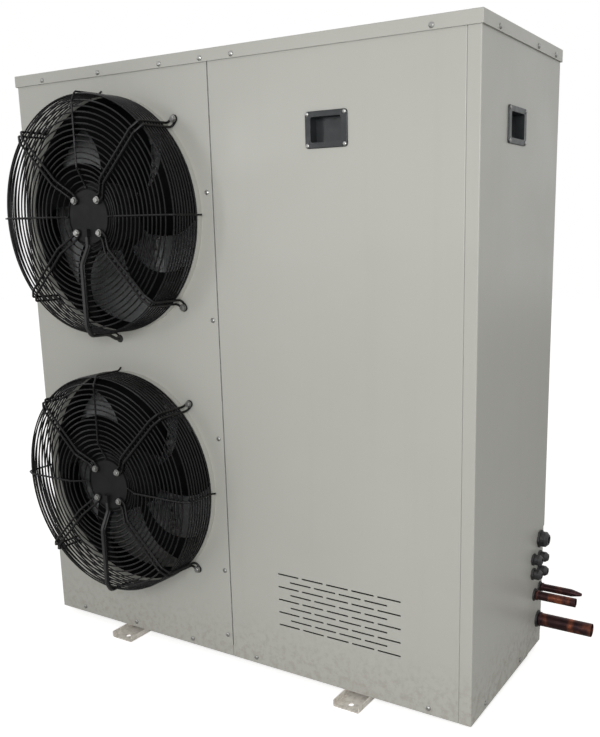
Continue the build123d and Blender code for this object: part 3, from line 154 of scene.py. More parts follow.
class CoilLook(bpy.types.PropertyGroup):
    """Sizes and colour of the coil's fins."""

    fin_pitch: FloatProperty(name="Fin pitch", description="Between two fins", default=0.0021, unit="LENGTH")
    fin_thickness: FloatProperty(name="Fin", description="Thickness of a fin", default=0.0004, unit="LENGTH")
    tube: FloatProperty(name="Tube", description="Diameter of a tube", default=0.0095, unit="LENGTH")
    colour: FloatVectorProperty(
        name="Fins", description="Aluminium of the fins",
        subtype="COLOR", size=4, default=(0.80, 0.81, 0.82, 1),
    )


class StageLook(bpy.types.PropertyGroup):
    """Light and ground around the unit."""

    world: FloatProperty(name="World", description="Strength of the even light", default=0.42, min=0)
    key: FloatProperty(
        name="Key", description="Power of the lamp near the camera", default=23.0, min=0, unit="POWER"
    )
    glint: FloatProperty(
        name="Glint", description="Power of the lamp at the left", default=5.0, min=0, unit="POWER"
    )
    ground: FloatProperty(
        name="Ground", description="Half the width of the floor", default=9.0, unit="LENGTH"
    )


GROUPS = {
    "unit_casing": CasingLook,
    "unit_guards": GuardLook,
    "unit_fans": FanLook,
    "unit_coil": CoilLook,
    "unit_stage": StageLook,
}


def rounded(corners, radii, steps=8):
    """A run of straight lines with its inner corners turned into arcs.

    At a corner c, with unit directions a to the corner before and b to the one after, and h half the angle
    between them, the arc's centre is c + r / sin(h) along a + b. Its points turn evenly from c + a r / tan(h)
    to c + b r / tan(h) about that centre.
    """
    corners = np.asarray(corners, float)
    radii = np.asarray(radii, float)[:, None]
    here = corners[1:-1]
    a = corners[:-2] - here
    b = corners[2:] - here
    a /= np.linalg.norm(a, axis=1, keepdims=True)
    b /= np.linalg.norm(b, axis=1, keepdims=True)
    half = np.arccos(np.clip((a * b).sum(1, keepdims=True), -1, 1)) / 2
    reach = radii / np.tan(half)
    middle = (a + b) / np.linalg.norm(a + b, axis=1, keepdims=True)
    centre = here + middle * radii / np.sin(half)
    start, end = here + a * reach - centre, here + b * reach - centre
    turn = (np.pi - 2 * half)[:, None, :]
    t = np.linspace(0, 1, steps)[None, :, None]
    swept = start[:, None] * np.sin((1 - t) * turn) + end[:, None] * np.sin(t * turn)
    arcs = centre[:, None] + swept / np.sin(turn)
    return np.vstack([corners[:1], arcs.reshape(-1, corners.shape[1]), corners[-1:]])


def beside(line, distance):
    """The corners of a flat run of lines moved to its left: at each corner by distance times
    (l + m) / (1 + l.m), where l and m are the left-hand unit directions of the lines that meet there."""
    line = np.asarray(line, float)
    along = np.diff(line, axis=0)
    along /= np.linalg.norm(along, axis=1, keepdims=True)
    left = np.stack([-along[:, 1], along[:, 0]], 1)
    before, after = np.vstack([left[:1], left]), np.vstack([left, left[-1:]])
    return line + distance * (before + after) / (1 + (before * after).sum(1, keepdims=True))


def tangents(path, closed=False):
    """Unit directions along a path, from the point before to the point after each point."""
    if closed:
        along = np.roll(path, -1, 0) - np.roll(path, 1, 0)
    else:
        along = np.gradient(path, axis=0)
    return along / np.linalg.norm(along, axis=1, keepdims=True)


def carried(path, normals, section, closed=False):
    """A section carried along a path:
    point(i, j) = path(i) + x(j) normal(i) + y(j) (tangent(i) x normal(i))."""
    along = tangents(path, closed)
    normals = normals - (normals * along).sum(1, keepdims=True) * along
    normals /= np.linalg.norm(normals, axis=1, keepdims=True)
    side = np.cross(along, normals)
    return path[:, None] + section[None, :, :1] * normals[:, None] + section[None, :, 1:] * side[:, None]


def circle(radius, count, start=0.0):
    """Points of a circle: (r cos t, r sin t) for count even steps of t."""
    turn = start + np.linspace(0, 2 * np.pi, count, endpoint=False)
    return radius * np.stack([np.cos(turn), np.sin(turn)], 1)


def turned(profile, count):
    """A profile (r, z) turned about Z:
    point(i, j) = (r(i) cos t(j), r(i) sin t(j), z(i)) for even turns t."""
    profile = np.asarray(profile, float)
    spokes = circle(1.0, count)
    flat = profile[:, None, :1] * spokes[None]
    return np.concatenate([flat, np.repeat(profile[:, None, 1:], count, axis=1)], axis=2)


def about_z(points, angle):
    """Points turned about Z by an angle: (x cos a - y sin a, x sin a + y cos a, z)."""
    c, s = np.cos(angle), np.sin(angle)
    return points @ np.array([[c, s, 0], [-s, c, 0], [0, 0, 1]])


def on_fan(points, level):
    """Points drawn about a fan's axis, with z out of the panel, put in place: (x, y, z) to (x, -z, y)."""
    x, y, z = points[..., 0], points[..., 1], points[..., 2]
    return np.stack([FAN_X + x, FRONT_Y - z, FAN_HEIGHTS[level] + y], -1)


class Form:
    """Surfaces gathered as arrays of corners and faces, and then put into one mesh."""

    def __init__(self):
        self.corners = []
        self.faces = []
        self.count = 0

    def add(self, corners, faces):
        """Takes in corners (n, 3) and faces (m, k) that count from the first of them."""
        self.corners.append(corners.reshape(-1, 3))
        self.faces += (faces + self.count).tolist()
        self.count += len(self.corners[-1])

    def surface(self, points, loop_rows=False, ends="open"):
        """A grid of points (rows, columns, 3) joined by quads, each row closed on itself. Its ends are open,
        or each closed by one flat face ("flat"), or by quads between the two halves of the row ("halves"),
        for long thin sections."""
        rows, columns = points.shape[:2]
        i = np.arange(rows if loop_rows else rows - 1)[:, None]
        j = np.arange(columns)[None]
        down, right = (i + 1) % rows, (j + 1) % columns
        here, below = i * columns, down * columns
        quads = np.stack([here + j, here + right, below + right, below + j], -1)
        self.add(points, quads.reshape(-1, 4))
        base = self.count - rows * columns
        last = (rows - 1) * columns
        if ends == "flat":
            around = np.arange(columns) + base
            self.faces += [around[::-1].tolist(), (around + last).tolist()]
        elif ends == "halves":
            k = np.arange(columns // 2 - 1)
            lid = np.stack([k, columns - 1 - k, columns - 2 - k, k + 1], 1) + base
            self.faces += lid.tolist() + (lid[:, ::-1] + last).tolist()

    def piece(self, name, body, material):
        """The finished object: faces pointing outwards, smooth but for edges sharper than an angle."""
        mesh = bpy.data.meshes.new(name)
        mesh.from_pydata(np.vstack(self.corners), [], self.faces)
        shell = bmesh.new()
        shell.from_mesh(mesh)
        bmesh.ops.recalc_face_normals(shell, faces=shell.faces)
        shell.to_mesh(mesh)
        shell.free()
        mesh.materials.append(material)
        mesh.shade_smooth()
        mesh.set_sharp_from_angle(angle=SHARP_EDGE)
        mesh.update()
        made = bpy.data.objects.new(name, mesh)
        bpy.context.scene.collection.objects.link(made)
        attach(made, body)
        return made


class Finish:
    """A material's nodes, with short calls for those that its pattern needs."""

    def __init__(self, name):
        self.material = bpy.data.materials.new(name)
        self.material.use_nodes = True
        self.tree = self.material.node_tree
        self.tree.nodes.clear()
        self.shader = self.node("ShaderNodeBsdfPrincipled")
        out = self.node("ShaderNodeOutputMaterial")
        self.tree.links.new(self.shader.outputs["BSDF"], out.inputs["Surface"])
        self.place = self.node("ShaderNodeTexCoord").outputs["Object"]

    def node(self, kind, inputs=None, **settings):
        """A new node with its settings, and values or links for its inputs."""
        made = self.tree.nodes.new(kind)
        for key, value in settings.items():
            setattr(made, key, value)
        for key, value in (inputs or {}).items():
            self.feed(made.inputs[key], value)
        return made

    def feed(self, socket, value):
        """Sets a socket to a value, or links an output to it."""
        if isinstance(value, bpy.types.NodeSocket):
            self.tree.links.new(value, socket)
        else:
            socket.default_value = value

    def stretched(self, scale):
        """Object coordinates with a scale of their own for each axis."""
        return self.node("ShaderNodeMapping", {"Vector": self.place, "Scale": scale}).outputs["Vector"]

    def noise(self, scale, detail=3.0, roughness=0.55, place=None, distortion=0.0):
        """Fractal noise over the object, from 0 to 1 with most of it near 0.5."""
        inputs = {"Vector": place or self.place, "Scale": scale, "Detail": detail, "Roughness": roughness}
        inputs["Distortion"] = distortion
        return self.node("ShaderNodeTexNoise", inputs).outputs["Fac"]

    def spread(self, value, low, high, to_low=0.0, to_high=1.0, smooth=True):
        """A value from low to high carried to another range, and held at its ends."""
        kind = "SMOOTHSTEP" if smooth else "LINEAR"
        inputs = {"Value": value, "From Min": low, "From Max": high, "To Min": to_low, "To Max": to_high}
        return self.node("ShaderNodeMapRange", inputs, interpolation_type=kind).outputs["Result"]

    def math(self, operation, a, b=0.0):
        """One sum on two values."""
        return self.node("ShaderNodeMath", {0: a, 1: b}, operation=operation).outputs[0]

    def mix(self, amount, a, b, blend="MIX"):
        """Colour a turned towards colour b by an amount."""
        made = self.node("ShaderNodeMix", data_type="RGBA", blend_type=blend)
        for key, value in zip((0, 6, 7), (amount, a, b)):
            self.feed(made.inputs[key], value)
        return made.outputs[2]

    def height(self):
        """The object's Z."""
        return self.node("ShaderNodeSeparateXYZ", {"Vector": self.place}).outputs["Z"]

    def facing_up(self):
        """How much the surface looks upwards, from 0 to 1."""
        normal = self.node("ShaderNodeNewGeometry").outputs["Normal"]
        return self.node("ShaderNodeSeparateXYZ", {"Vector": normal}).outputs["Z"]

    def bump(self, height, distance, strength=1.0):
        """Relief of a given depth in metres on the whole shader."""
        made = self.node("ShaderNodeBump", {"Height": height, "Distance": distance, "Strength": strength})
        self.tree.links.new(made.outputs["Normal"], self.shader.inputs["Normal"])

    def set(self, **values):
        """Puts values or links into the shader: a key is the input's name with _ for a space."""
        for key, value in values.items():
            self.feed(self.shader.inputs[key.replace("_", " ")], value)
        return self.material


def shade(colour, factor):
    """A colour made darker or lighter."""
    return tuple(min(part * factor, 1.0) for part in colour[:3]) + (1.0,)


def powder_coat(name, colour, grain):
    """Coated sheet steel: orange peel, cloudy tone, faint runs down the face and dust near the floor."""
    f = Finish(name)
    clouds = f.spread(f.noise(2.3, 4), 0.35, 0.65)
    runs = f.spread(f.noise(1.0, 5, place=f.stretched((38, 38, 1.3))), 0.5, 0.78)
    tone = f.mix(f.math("MULTIPLY", clouds, 0.5), shade(colour, 0.97), shade(colour, 1.035))
    tone = f.mix(f.math("MULTIPLY", runs, 0.10), tone, shade(colour, 0.82))
    low = f.spread(f.height(), 0.16, 0.02)
    speckle = f.spread(f.noise(70, 5, 0.7), 0.42, 0.66)
    dust = f.math("MULTIPLY", low, f.math("MULTIPLY", speckle, 0.42))
    tone = f.mix(dust, tone, (0.30, 0.26, 0.21, 1))
    chips = f.spread(f.noise(260, 2, 0.5), 0.80, 0.83)
    tone = f.mix(f.math("MULTIPLY", chips, 0.35), tone, shade(colour, 0.45))
    f.bump(f.noise(620, 2, 0.45), grain)
    gloss = f.spread(f.noise(5.5, 4), 0.3, 0.7, 0.30, 0.40)
    return f.set(Base_Color=tone, Roughness=f.math("ADD", gloss, f.math("MULTIPLY", dust, 0.8)))


def black_coat(name, colour, roughness, grain_scale=1500.0, grain=0.00003, dust=0.12, coat=0.0, shine=0.5):
    """Dark coated or moulded material: fine grain, cloudy gloss, and grey dust on what looks upwards."""
    f = Finish(name)
    film = f.spread(f.noise(34, 5, 0.65), 0.35, 0.7)
    up = f.spread(f.facing_up(), 0.15, 0.95)
    grey = f.math("MULTIPLY", f.math("MULTIPLY", up, film), dust)
    tone = f.mix(f.math("MULTIPLY", film, 0.5), colour, shade(colour, 1.7))
    tone = f.mix(grey, tone, (0.32, 0.31, 0.29, 1))
    f.bump(f.noise(grain_scale, 2, 0.5), grain)
    gloss = f.spread(f.noise(60, 4), 0.3, 0.7, roughness - 0.05, roughness + 0.09)
    f.set(Specular_IOR_Level=shine)
    return f.set(Base_Color=tone, Roughness=gloss, Coat_Weight=coat, Coat_Roughness=0.2)


def bare_metal(name, colour, roughness, stretch=(1, 1, 1), tarnish=0.25):
    """Plain metal: drawn or rolled grain along one axis, and a dull film in patches."""
    f = Finish(name)
    lines = f.noise(300.0, 3, 0.6, place=f.stretched(stretch))
    film = f.spread(f.noise(24, 5, 0.65), 0.42, 0.72)
    tone = f.mix(f.math("MULTIPLY", lines, 0.3), colour, shade(colour, 0.72))
    tone = f.mix(f.math("MULTIPLY", film, tarnish), tone, shade(colour, 0.42))
    f.bump(lines, 0.00002)
    drawn = f.spread(lines, 0.3, 0.7, roughness - 0.05, roughness + 0.07)
    gloss = f.math("ADD", drawn, f.math("MULTIPLY", film, 0.15))
    return f.set(Base_Color=tone, Metallic=1.0, Roughness=gloss)


def spangled_zinc(name):
    """Galvanised sheet: zinc crystals about a centimetre wide, each with a tone and gloss of its own."""
    f = Finish(name)
    cells = f.node("ShaderNodeTexVoronoi", {"Vector": f.place, "Scale": 85.0})
    grey = f.node("ShaderNodeSeparateColor", {"Color": cells.outputs["Color"]}).outputs["Red"]
    tone = f.mix(grey, (0.42, 0.43, 0.44, 1), (0.58, 0.59, 0.60, 1))
    f.bump(f.noise(420, 3), 0.00002)
    return f.set(Base_Color=tone, Metallic=0.9, Roughness=f.spread(grey, 0, 1, 0.34, 0.50, smooth=False))


def heated_copper(name):
    """Copper tube after brazing: dark brown oxide, purple-black bands and orange patches where heat ran."""
    f = Finish(name)
    bands = f.noise(1.0, 4, 0.55, place=f.stretched((26, 9, 9)), distortion=0.6)
    patches = f.noise(31, 4, 0.6)
    tone = f.mix(f.spread(bands, 0.35, 0.55), (0.050, 0.017, 0.014, 1), (0.026, 0.012, 0.015, 1))
    glow = f.math("MULTIPLY", f.spread(bands, 0.48, 0.72), f.spread(patches, 0.34, 0.66))
    tone = f.mix(glow, tone, (0.46, 0.13, 0.050, 1))
    tone = f.mix(f.spread(f.noise(180, 4, 0.7), 0.55, 0.75, 0.0, 0.55), tone, (0.05, 0.02, 0.016, 1))
    f.bump(f.noise(260, 4, 0.6), 0.00012)
    gloss = f.spread(patches, 0.3, 0.7, 0.34, 0.56)
    return f.set(Base_Color=tone, Metallic=0.75, Roughness=gloss)


def aluminium_fins(name, colour):
    """Thin fins of sheet aluminium: streaks about a fin wide painted in as shade, bright edges and darker
    between, with dust low down and a few dull stains.
    """
    f = Finish(name)
    stains = f.spread(f.noise(9, 5, 0.65), 0.5, 0.75)
    # Painted shade: thin vertical streaks about a fin wide, darker between the fins' bright edges.
    fin_shade_streaks = f.noise(1.0, 3, 0.6, place=f.stretched((900, 900, 22)))
    tone = f.mix(f.math("MULTIPLY", fin_shade_streaks, 0.5), colour, shade(colour, 0.7))
    tone = f.mix(f.math("MULTIPLY", stains, 0.4), tone, shade(colour, 0.5))
    low = f.spread(f.height(), 0.20, 0.02)
    tone = f.mix(f.math("MULTIPLY", low, 0.35), tone, (0.24, 0.21, 0.17, 1))
    return f.set(Base_Color=tone, Metallic=0.35, Roughness=f.spread(stains, 0, 1, 0.36, 0.55))


def rubber(name):
    """Moulded black rubber: fine pores and a grey bloom in patches."""
    f = Finish(name)
    bloom = f.spread(f.noise(45, 5, 0.7), 0.45, 0.75, 0.0, 0.4)
    tone = f.mix(bloom, (0.014, 0.014, 0.014, 1), (0.075, 0.072, 0.068, 1))
    f.bump(f.noise(1300, 3), 0.00005)
    return f.set(Base_Color=tone, Roughness=f.spread(bloom, 0, 0.4, 0.58, 0.78))


def stacked_steel(name):
    """Motor laminations: sheets half a millimetre thick along the fan's axis, with varnish between them."""
    f = Finish(name)
    depth = f.node("ShaderNodeSeparateXYZ", {"Vector": f.place}).outputs["Y"]
    sheets = f.math("FRACT", f.math("MULTIPLY", depth, 2000.0))
    tone = f.mix(f.spread(sheets, 0.6, 0.9), (0.30, 0.28, 0.26, 1), (0.08, 0.07, 0.06, 1))
    f.bump(sheets, 0.0001)
    return f.set(Base_Color=tone, Metallic=0.8, Roughness=f.spread(f.noise(200), 0.3, 0.7, 0.42, 0.55))


def dressed(material, *names):
    """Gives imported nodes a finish. Their shapes stay as they are."""
    for name in names:
        node = NODES[name]
        node.data.materials.clear()
        node.data.materials.append(material)


def guard_line(look):
    """The corners (radius, out) of the line that the rings follow, from the hub to the foot of the side."""
    hub, rim, top = HUB_HOLE_R, look.rim_r, GUARD_OUT
    return np.array(
        [
            (hub, GUARD_HUB_OUT),
            (hub + 0.016, GUARD_HUB_OUT),
            (hub + 0.052, top),
            (rim - 0.0185, top),
            (rim - 0.0015, top - 0.0088),
            (rim, GUARD_BACK_OUT),
        ]
    )


def ring_places(look):
    """Radius and out of every ring: the face rings on the guard's line, one in the corner, and those of the
    side, which draws in by 1.5 mm over its height."""
    line = guard_line(look)
    radii = look.first_ring_r + look.ring_pitch * np.arange(look.face_rings)
    face = np.stack([radii, np.interp(radii, line[:5, 0], line[:5, 1])], 1)
    corner = line[4:5] - 0.001
    climb = look.side_pitch * np.arange(look.side_rings)
    draft = 0.0015 / (line[4, 1] - GUARD_BACK_OUT)
    side = np.stack([look.rim_r - climb * draft, GUARD_BACK_OUT + climb], 1)
    return np.vstack([face, corner, side])


def flat_normals(run):
    """For a run (radius, out) in the plane through the fan's axis, the direction square to it, outwards."""
    along = tangents(run)
    return np.stack([-along[:, 1], np.zeros(len(run)), along[:, 0]], 1)


def arm_path(look):
    """An arm's closed line: out from the hub over the rings and down to the panel, round the eyelet, back
    beside itself and round the hub's bolt. The ends are half circles (cos t, sin t) of half the arm's
    width."""
    half = look.arm_pair / 2
    line = beside(guard_line(look), look.ring_wire / 2 + WELD_GAP + look.arm_wire / 2)
    foot = look.arm_wire / 2
    line = np.vstack([line[:-1], [line[-1, 0] + 0.0005, foot], [EYELET_R, foot]])
    run = rounded(line, [0.02, 0.02, 0.01, 0.006, 0.008], 7)
    out = np.stack([run[:, 0], np.full(len(run), half), run[:, 1]], 1)
    normals = flat_normals(run)
    turn = np.linspace(0, np.pi, 9)[1:-1]
    bend = np.stack([np.sin(turn), np.cos(turn)], 1) * half
    up = np.tile([0.0, 0.0, 1.0], (len(turn), 1))
    eyelet = np.stack([EYELET_R + bend[:, 0], bend[:, 1], np.full(len(turn), foot)], 1)
    hub = np.stack([run[0, 0] - bend[:, 0], -bend[:, 1], np.full(len(turn), run[0, 1])], 1)
    back = out[::-1] * [1, -1, 1]
    return np.vstack([out, eyelet, back, hub]), np.vstack([normals, up, normals[::-1], up])


def spoke_path(look):
    """A spoke's line: from inside the first ring over the rings and down the side, its end bent outwards."""
    line = beside(guard_line(look), look.ring_wire / 2 + WELD_GAP + look.spoke_wire / 2)
    foot = line[-1, 0]
    line = np.vstack([[look.first_ring_r - look.ring_wire, line[0, 1]], line[1:-1], [foot, GUARD_BACK_OUT]])
    line = np.vstack([line, [foot + 0.006, GUARD_BACK_OUT - 0.0065]])
    run = rounded(line, [0.008] * (len(line) - 2), 6)
    return np.stack([run[:, 0], np.zeros(len(run)), run[:, 1]], 1), flat_normals(run)


def make_guard(level, look, material):
    """One guard: ring(t, s) = ((R + a cos s) cos t, (R + a cos s) sin t, h + a sin s), and wires carried
    along the lines of the arms and spokes."""
    form = Form()
    for radius, out in ring_places(look):
        wire = circle(look.ring_wire / 2, 8, 0.2)
        ring = turned(wire + [radius, out], 120)
        form.surface(on_fan(ring, level), loop_rows=True)
    arm = carried(*arm_path(look), circle(look.arm_wire / 2, 10), closed=True)
    spoke = carried(*spoke_path(look), circle(look.spoke_wire / 2, 10))
    for quarter in range(4):
        form.surface(on_fan(about_z(arm, np.pi / 4 + quarter * np.pi / 2), level), loop_rows=True)
        form.surface(on_fan(about_z(spoke, quarter * np.pi / 2), level), ends="flat")
    made = form.piece(f"wire_guard_{level}", "cabinet", material)
    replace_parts(made, f"fan_guard_{level}")


# Radius, sweep, chord, pitch and camber of the blade from hub to tip, as the solids have them
BLADE_STATIONS = np.array(
    [
        (0.056, 0.0, 0.092, 38.0, 0.009),
        (0.105, 1.0, 0.104, 33.0, 0.010),
        (0.160, 9.0, 0.124, 27.0, 0.011),
        (0.200, 20.0, 0.140, 23.0, 0.011),
        (0.237, 33.0, 0.150, 20.0, 0.010),
    ]
)


def blade_surface(look):
    """A sickle blade as a closed shell. Across it, s goes from -1 to 1 over the chord c, with height
    k (1 - s^2) for the camber k, plus or minus half the thickness t sqrt(1 - s^4). Along it, the section
    turns by the pitch and is wrapped round the radius: angle = sweep + x / r, out = middle + z."""
    across = np.cos(np.linspace(0, 2 * np.pi, 48, endpoint=False))
    face = np.where(np.arange(48) < 24, 1.0, -1.0)
    radii = np.linspace(ROTOR_R - 0.001, look.tip_r, 26)
    fits = [np.polyfit(BLADE_STATIONS[:, 0], column, 3) for column in BLADE_STATIONS[:, 1:].T]
    sweep, chord, pitch, camber = [np.polyval(fit, radii)[:, None] for fit in fits]
    wall = look.thickness / 2 * np.sqrt(np.clip(1 - across**4, 0.0, 1)) + 0.0002
    x = across * chord / 2
    z = camber * (1 - across**2) + face * wall
    tilt = np.radians(pitch)
    flat = x * np.cos(tilt) - z * np.sin(tilt)
    out = x * np.sin(tilt) + z * np.cos(tilt) - look.depth
    angle = np.radians(sweep) + flat / radii[:, None]
    return np.stack([radii[:, None] * np.cos(angle), radii[:, None] * np.sin(angle), out], -1)


def make_blades(level, look, material):
    """One fan's blades, evenly round the rotor."""
    form = Form()
    shell = blade_surface(look)
    for number in range(look.blades):
        turn = 2 * np.pi * number / look.blades
        form.surface(on_fan(about_z(shell, turn), level)[:, ::-1], ends="halves")
    made = form.piece(f"sickle_blades_{level}", f"fan_{level}", material)
    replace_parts(made, f"fan_blades_{level}")


def coil_line(inset, steps=10):
    """A line in plan at a distance from the coil's outer face: along the back, round the rear left corner and
    forward along the left side."""
    (left, front, _), (right, back, _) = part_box("condenser_fins")
    corners = [(right, back - inset), (left + inset, back - inset), (left + inset, front)]
    return rounded(corners, [COIL_CORNER_R - inset], steps)


def coil_heights():
    """The coil's bottom and top."""
    lowest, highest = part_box("condenser_fins")
    return lowest[2], highest[2]


def make_fins(look, material):
    """Flat fins evenly along the coil: corner = middle + a t + b n + c z, for a = +-thickness / 2 along the
    line, b = +-depth / 2 across it, and c from the coil's bottom to its top."""
    line = coil_line(COIL_T / 2, 16)
    reach = np.concatenate([[0.0], np.cumsum(np.linalg.norm(np.diff(line, axis=0), axis=1))])
    count = int(reach[-1] / look.fin_pitch)
    at = (np.arange(count) + 0.5) * reach[-1] / count
    middle = np.stack([np.interp(at, reach, line[:, 0]), np.interp(at, reach, line[:, 1])], 1)
    along = tangents(middle)
    across = np.stack([-along[:, 1], along[:, 0]], 1)
    a = np.array([-1, 1, 1, -1]) * look.fin_thickness / 2
    b = np.array([-1, -1, 1, 1]) * COIL_T / 2
    plan = middle[:, None] + a[None, :, None] * along[:, None] + b[None, :, None] * across[:, None]
    low, high = coil_heights()
    corners = np.stack([np.dstack([plan, np.full(plan.shape[:2], z)]) for z in (low, high)], 1)
    sides = np.array([(0, 1, 5, 4), (1, 2, 6, 5), (2, 3, 7, 6), (3, 0, 4, 7), (3, 2, 1, 0), (4, 5, 6, 7)])
    faces = (8 * np.arange(count)[:, None, None] + sides[None]).reshape(-1, 4)
    form = Form()
    form.add(corners, faces)
    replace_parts(form.piece("coil_fins", "cabinet", material), "condenser_fins")


def make_tubes(look, material):
    """The coil's tubes: level circles carried along the lines of the two rows."""
    low, high = coil_heights()
    section = circle(look.tube / 2, 8)
    form = Form()
    for inset in COIL_ROWS:
        plan = coil_line(inset, 8)
        for height in np.arange(low + TUBE_PITCH, high - look.tube, TUBE_PITCH):
            path = np.column_stack([plan, np.full(len(plan), height)])
            up = np.tile([0.0, 0.0, 1.0], (len(path), 1))
            form.surface(carried(path, up, section), ends="flat")
    form.piece("coil_tubes", "cabinet", material)


class UNIT_OT_casing(bpy.types.Operator):
    """Finish the sheet-metal casing and the foot rails"""

    bl_idname = "unit.casing"
    bl_label = "Casing"

    def execute(self, context):
        look = context.scene.unit_casing
        coat = powder_coat("casing_coat", tuple(look.colour), look.grain)
        dressed(coat, "base_pan", "roof_cover", "fan_panel", "service_panel", "side_panel", "rear_panel")
        dressed(coat, "corner_post", "pipe_plate")
        dressed(powder_coat("foot_coat", tuple(look.feet), look.grain), "foot_rail_left", "foot_rail_right")
        dressed(spangled_zinc("zinc_sheet"), "partition_plate", "coil_end_plates", "electric_box")
        return {"FINISHED"}


class UNIT_OT_guards(bpy.types.Operator):
    """Make the wire guards in front of the fans"""

    bl_idname = "unit.guards"
    bl_label = "Wire guards"

    def execute(self, context):
        look = context.scene.unit_guards
        coat = black_coat("guard_wire", tuple(look.colour), 0.2, dust=0.03, shine=0.22)
        for level in FAN_HEIGHTS:
            make_guard(level, look, coat)
        return {"FINISHED"}


class UNIT_OT_fans(bpy.types.Operator):
    """Make the fan blades and finish the motors and fan rings"""

    bl_idname = "unit.fans"
    bl_label = "Fans"

    def execute(self, context):
        look = context.scene.unit_fans
        coat = black_coat("blade_coat", tuple(look.colour), 0.75, dust=0.005, shine=0.03)
        grey = (0.012, 0.012, 0.0125, 1)
        cast = black_coat("motor_casting", grey, 0.42, 420.0, 0.0002, dust=0.02, shine=0.12)
        ring = black_coat("ring_coat", (0.003, 0.003, 0.0033, 1), 0.7, dust=0.005, shine=0.03)
        shaft = bare_metal("ground_shaft", (0.6, 0.6, 0.61, 1), 0.22, (1, 60, 1))
        for level in FAN_HEIGHTS:
            make_blades(level, look, coat)
            dressed(cast, f"motor_flange_{level}", f"motor_rotor_{level}")
            dressed(ring, f"fan_ring_{level}")
            dressed(shaft, f"motor_shaft_{level}")
            dressed(stacked_steel(f"laminations_{level}"), f"motor_stator_{level}")
            sheath = black_coat(f"cable_sheath_{level}", (0.015, 0.015, 0.015, 1), 0.5)
            dressed(sheath, f"motor_cable_{level}")
        dressed(bare_metal("bearing_steel", (0.66, 0.66, 0.67, 1), 0.2), "motor_bearings")
        dressed(rubber("grommet_rubber"), "cable_grommets")
        return {"FINISHED"}


class UNIT_OT_fittings(bpy.types.Operator):
    """Finish the screws, handles, glands and grommets"""

    bl_idname = "unit.fittings"
    bl_label = "Fittings"

    def execute(self, context):
        zinc = bare_metal("zinc_plate", (0.36, 0.36, 0.35, 1), 0.34, tarnish=0.5)
        dressed(zinc, "casing_screws", "guard_screws", "handle_screws", "motor_bolts", "compressor_bolts")
        moulded = black_coat("handle_moulding", (0.012, 0.015, 0.017, 1), 0.34, 900.0, 0.00006)
        dressed(moulded, "front_handle", "side_handle")
        nylon = black_coat("gland_nylon", (0.014, 0.014, 0.015, 1), 0.40, 1100.0, 0.00004)
        dressed(nylon, "cable_glands", "compressor_terminals")
        dressed(rubber("seal_rubber"), "pipe_grommets", "rubber_feet")
        return {"FINISHED"}


class UNIT_OT_circuit(bpy.types.Operator):
    """Finish the coil, the compressor, the vessels and the pipes"""

    bl_idname = "unit.circuit"
    bl_label = "Refrigerant circuit"

    def execute(self, context):
        look = context.scene.unit_coil
        make_fins(look, aluminium_fins("fin_aluminium", tuple(look.colour)))
        copper = heated_copper("heated_copper")
        make_tubes(look, copper)
        dressed(copper, "suction_pipe", "liquid_pipe", "charge_pipe", "discharge_pipe", "return_gas_pipe")
        dressed(copper, "condensate_pipe", "receiver_pipe", "return_bends", "coil_headers")
        dressed(black_coat("shell_paint", (0.012, 0.012, 0.013, 1), 0.26, coat=0.5), "compressor")
        vessel = black_coat("vessel_paint", (0.02, 0.02, 0.021, 1), 0.36)
        dressed(vessel, "suction_accumulator", "liquid_receiver")
        dressed(black_coat("drier_paint", (0.05, 0.09, 0.22, 1), 0.35), "filter_drier")
        dressed(bare_metal("turned_brass", (0.72, 0.52, 0.24, 1), 0.28), "sight_glass", "pressure_switch")
        dressed(black_coat("contactor_moulding", (0.05, 0.05, 0.055, 1), 0.45), "contactors")
        dressed(black_coat("terminal_moulding", (0.45, 0.45, 0.43, 1), 0.5), "terminal_block")
        return {"FINISHED"}


# The photograph's camera: place, directions in degrees, lens for a 36 mm sensor, and the frame's shift
CAMERA_PLACE = (1.0978, -1.5402, 0.9294)
CAMERA_AZIMUTH = 30.723
CAMERA_DOWN = 11.988
CAMERA_ROLL = -0.808
CAMERA_LENS = 41.82
CAMERA_SHIFT = (-0.0721, 0.0532)

# The lamps' places, the points they look at, and their sizes
KEY_PLACE, KEY_AIM, KEY_SIZE = (1.1, -2.2, 1.25), (0.4, -0.2, 0.65), (0.9, 0.9)
GLINT_PLACE, GLINT_AIM, GLINT_SIZE = (-1.9, -2.9, 1.25), (0.1, -0.2, 0.9), (0.5, 0.7)
FLOOR_GLOW = 0.7


def placed(axes, origin):
    """The matrix of three axes and an origin."""
    rows = [(*[axis[row] for axis in axes], origin[row]) for row in range(3)]
    return Matrix(rows + [(0, 0, 0, 1)])


def camera_matrix():
    """The camera's place and axes: it looks along its azimuth and down, and is rolled about that line."""
    azimuth, down, roll = np.radians([CAMERA_AZIMUTH, CAMERA_DOWN, CAMERA_ROLL])
    look = np.array([-np.sin(azimuth) * np.cos(down), np.cos(azimuth) * np.cos(down), -np.sin(down)])
    right = np.cross(look, (0, 0, 1))
    right /= np.linalg.norm(right)
    up = np.cross(right, look)
    turned_right = np.cos(roll) * right + np.sin(roll) * up
    turned_up = np.cos(roll) * up - np.sin(roll) * right
    return placed((turned_right, turned_up, -look), CAMERA_PLACE)


def white_where_seen(tree, colour_output, seen, other):
    """Mixes two shader outputs: what a camera, mirror or glass ray sees, and what lights the unit."""
    path = tree.nodes.new("ShaderNodeLightPath")
    largest = path.outputs["Is Camera Ray"]
    for name in ("Is Glossy Ray", "Is Transmission Ray"):
        pick = tree.nodes.new("ShaderNodeMath")
        pick.operation = "MAXIMUM"
        tree.links.new(largest, pick.inputs[0])
        tree.links.new(path.outputs[name], pick.inputs[1])
        largest = pick.outputs[0]
    blend = tree.nodes.new("ShaderNodeMixShader")
    tree.links.new(largest, blend.inputs[0])
    tree.links.new(other, blend.inputs[1])
    tree.links.new(seen, blend.inputs[2])
    tree.links.new(blend.outputs[0], colour_output)


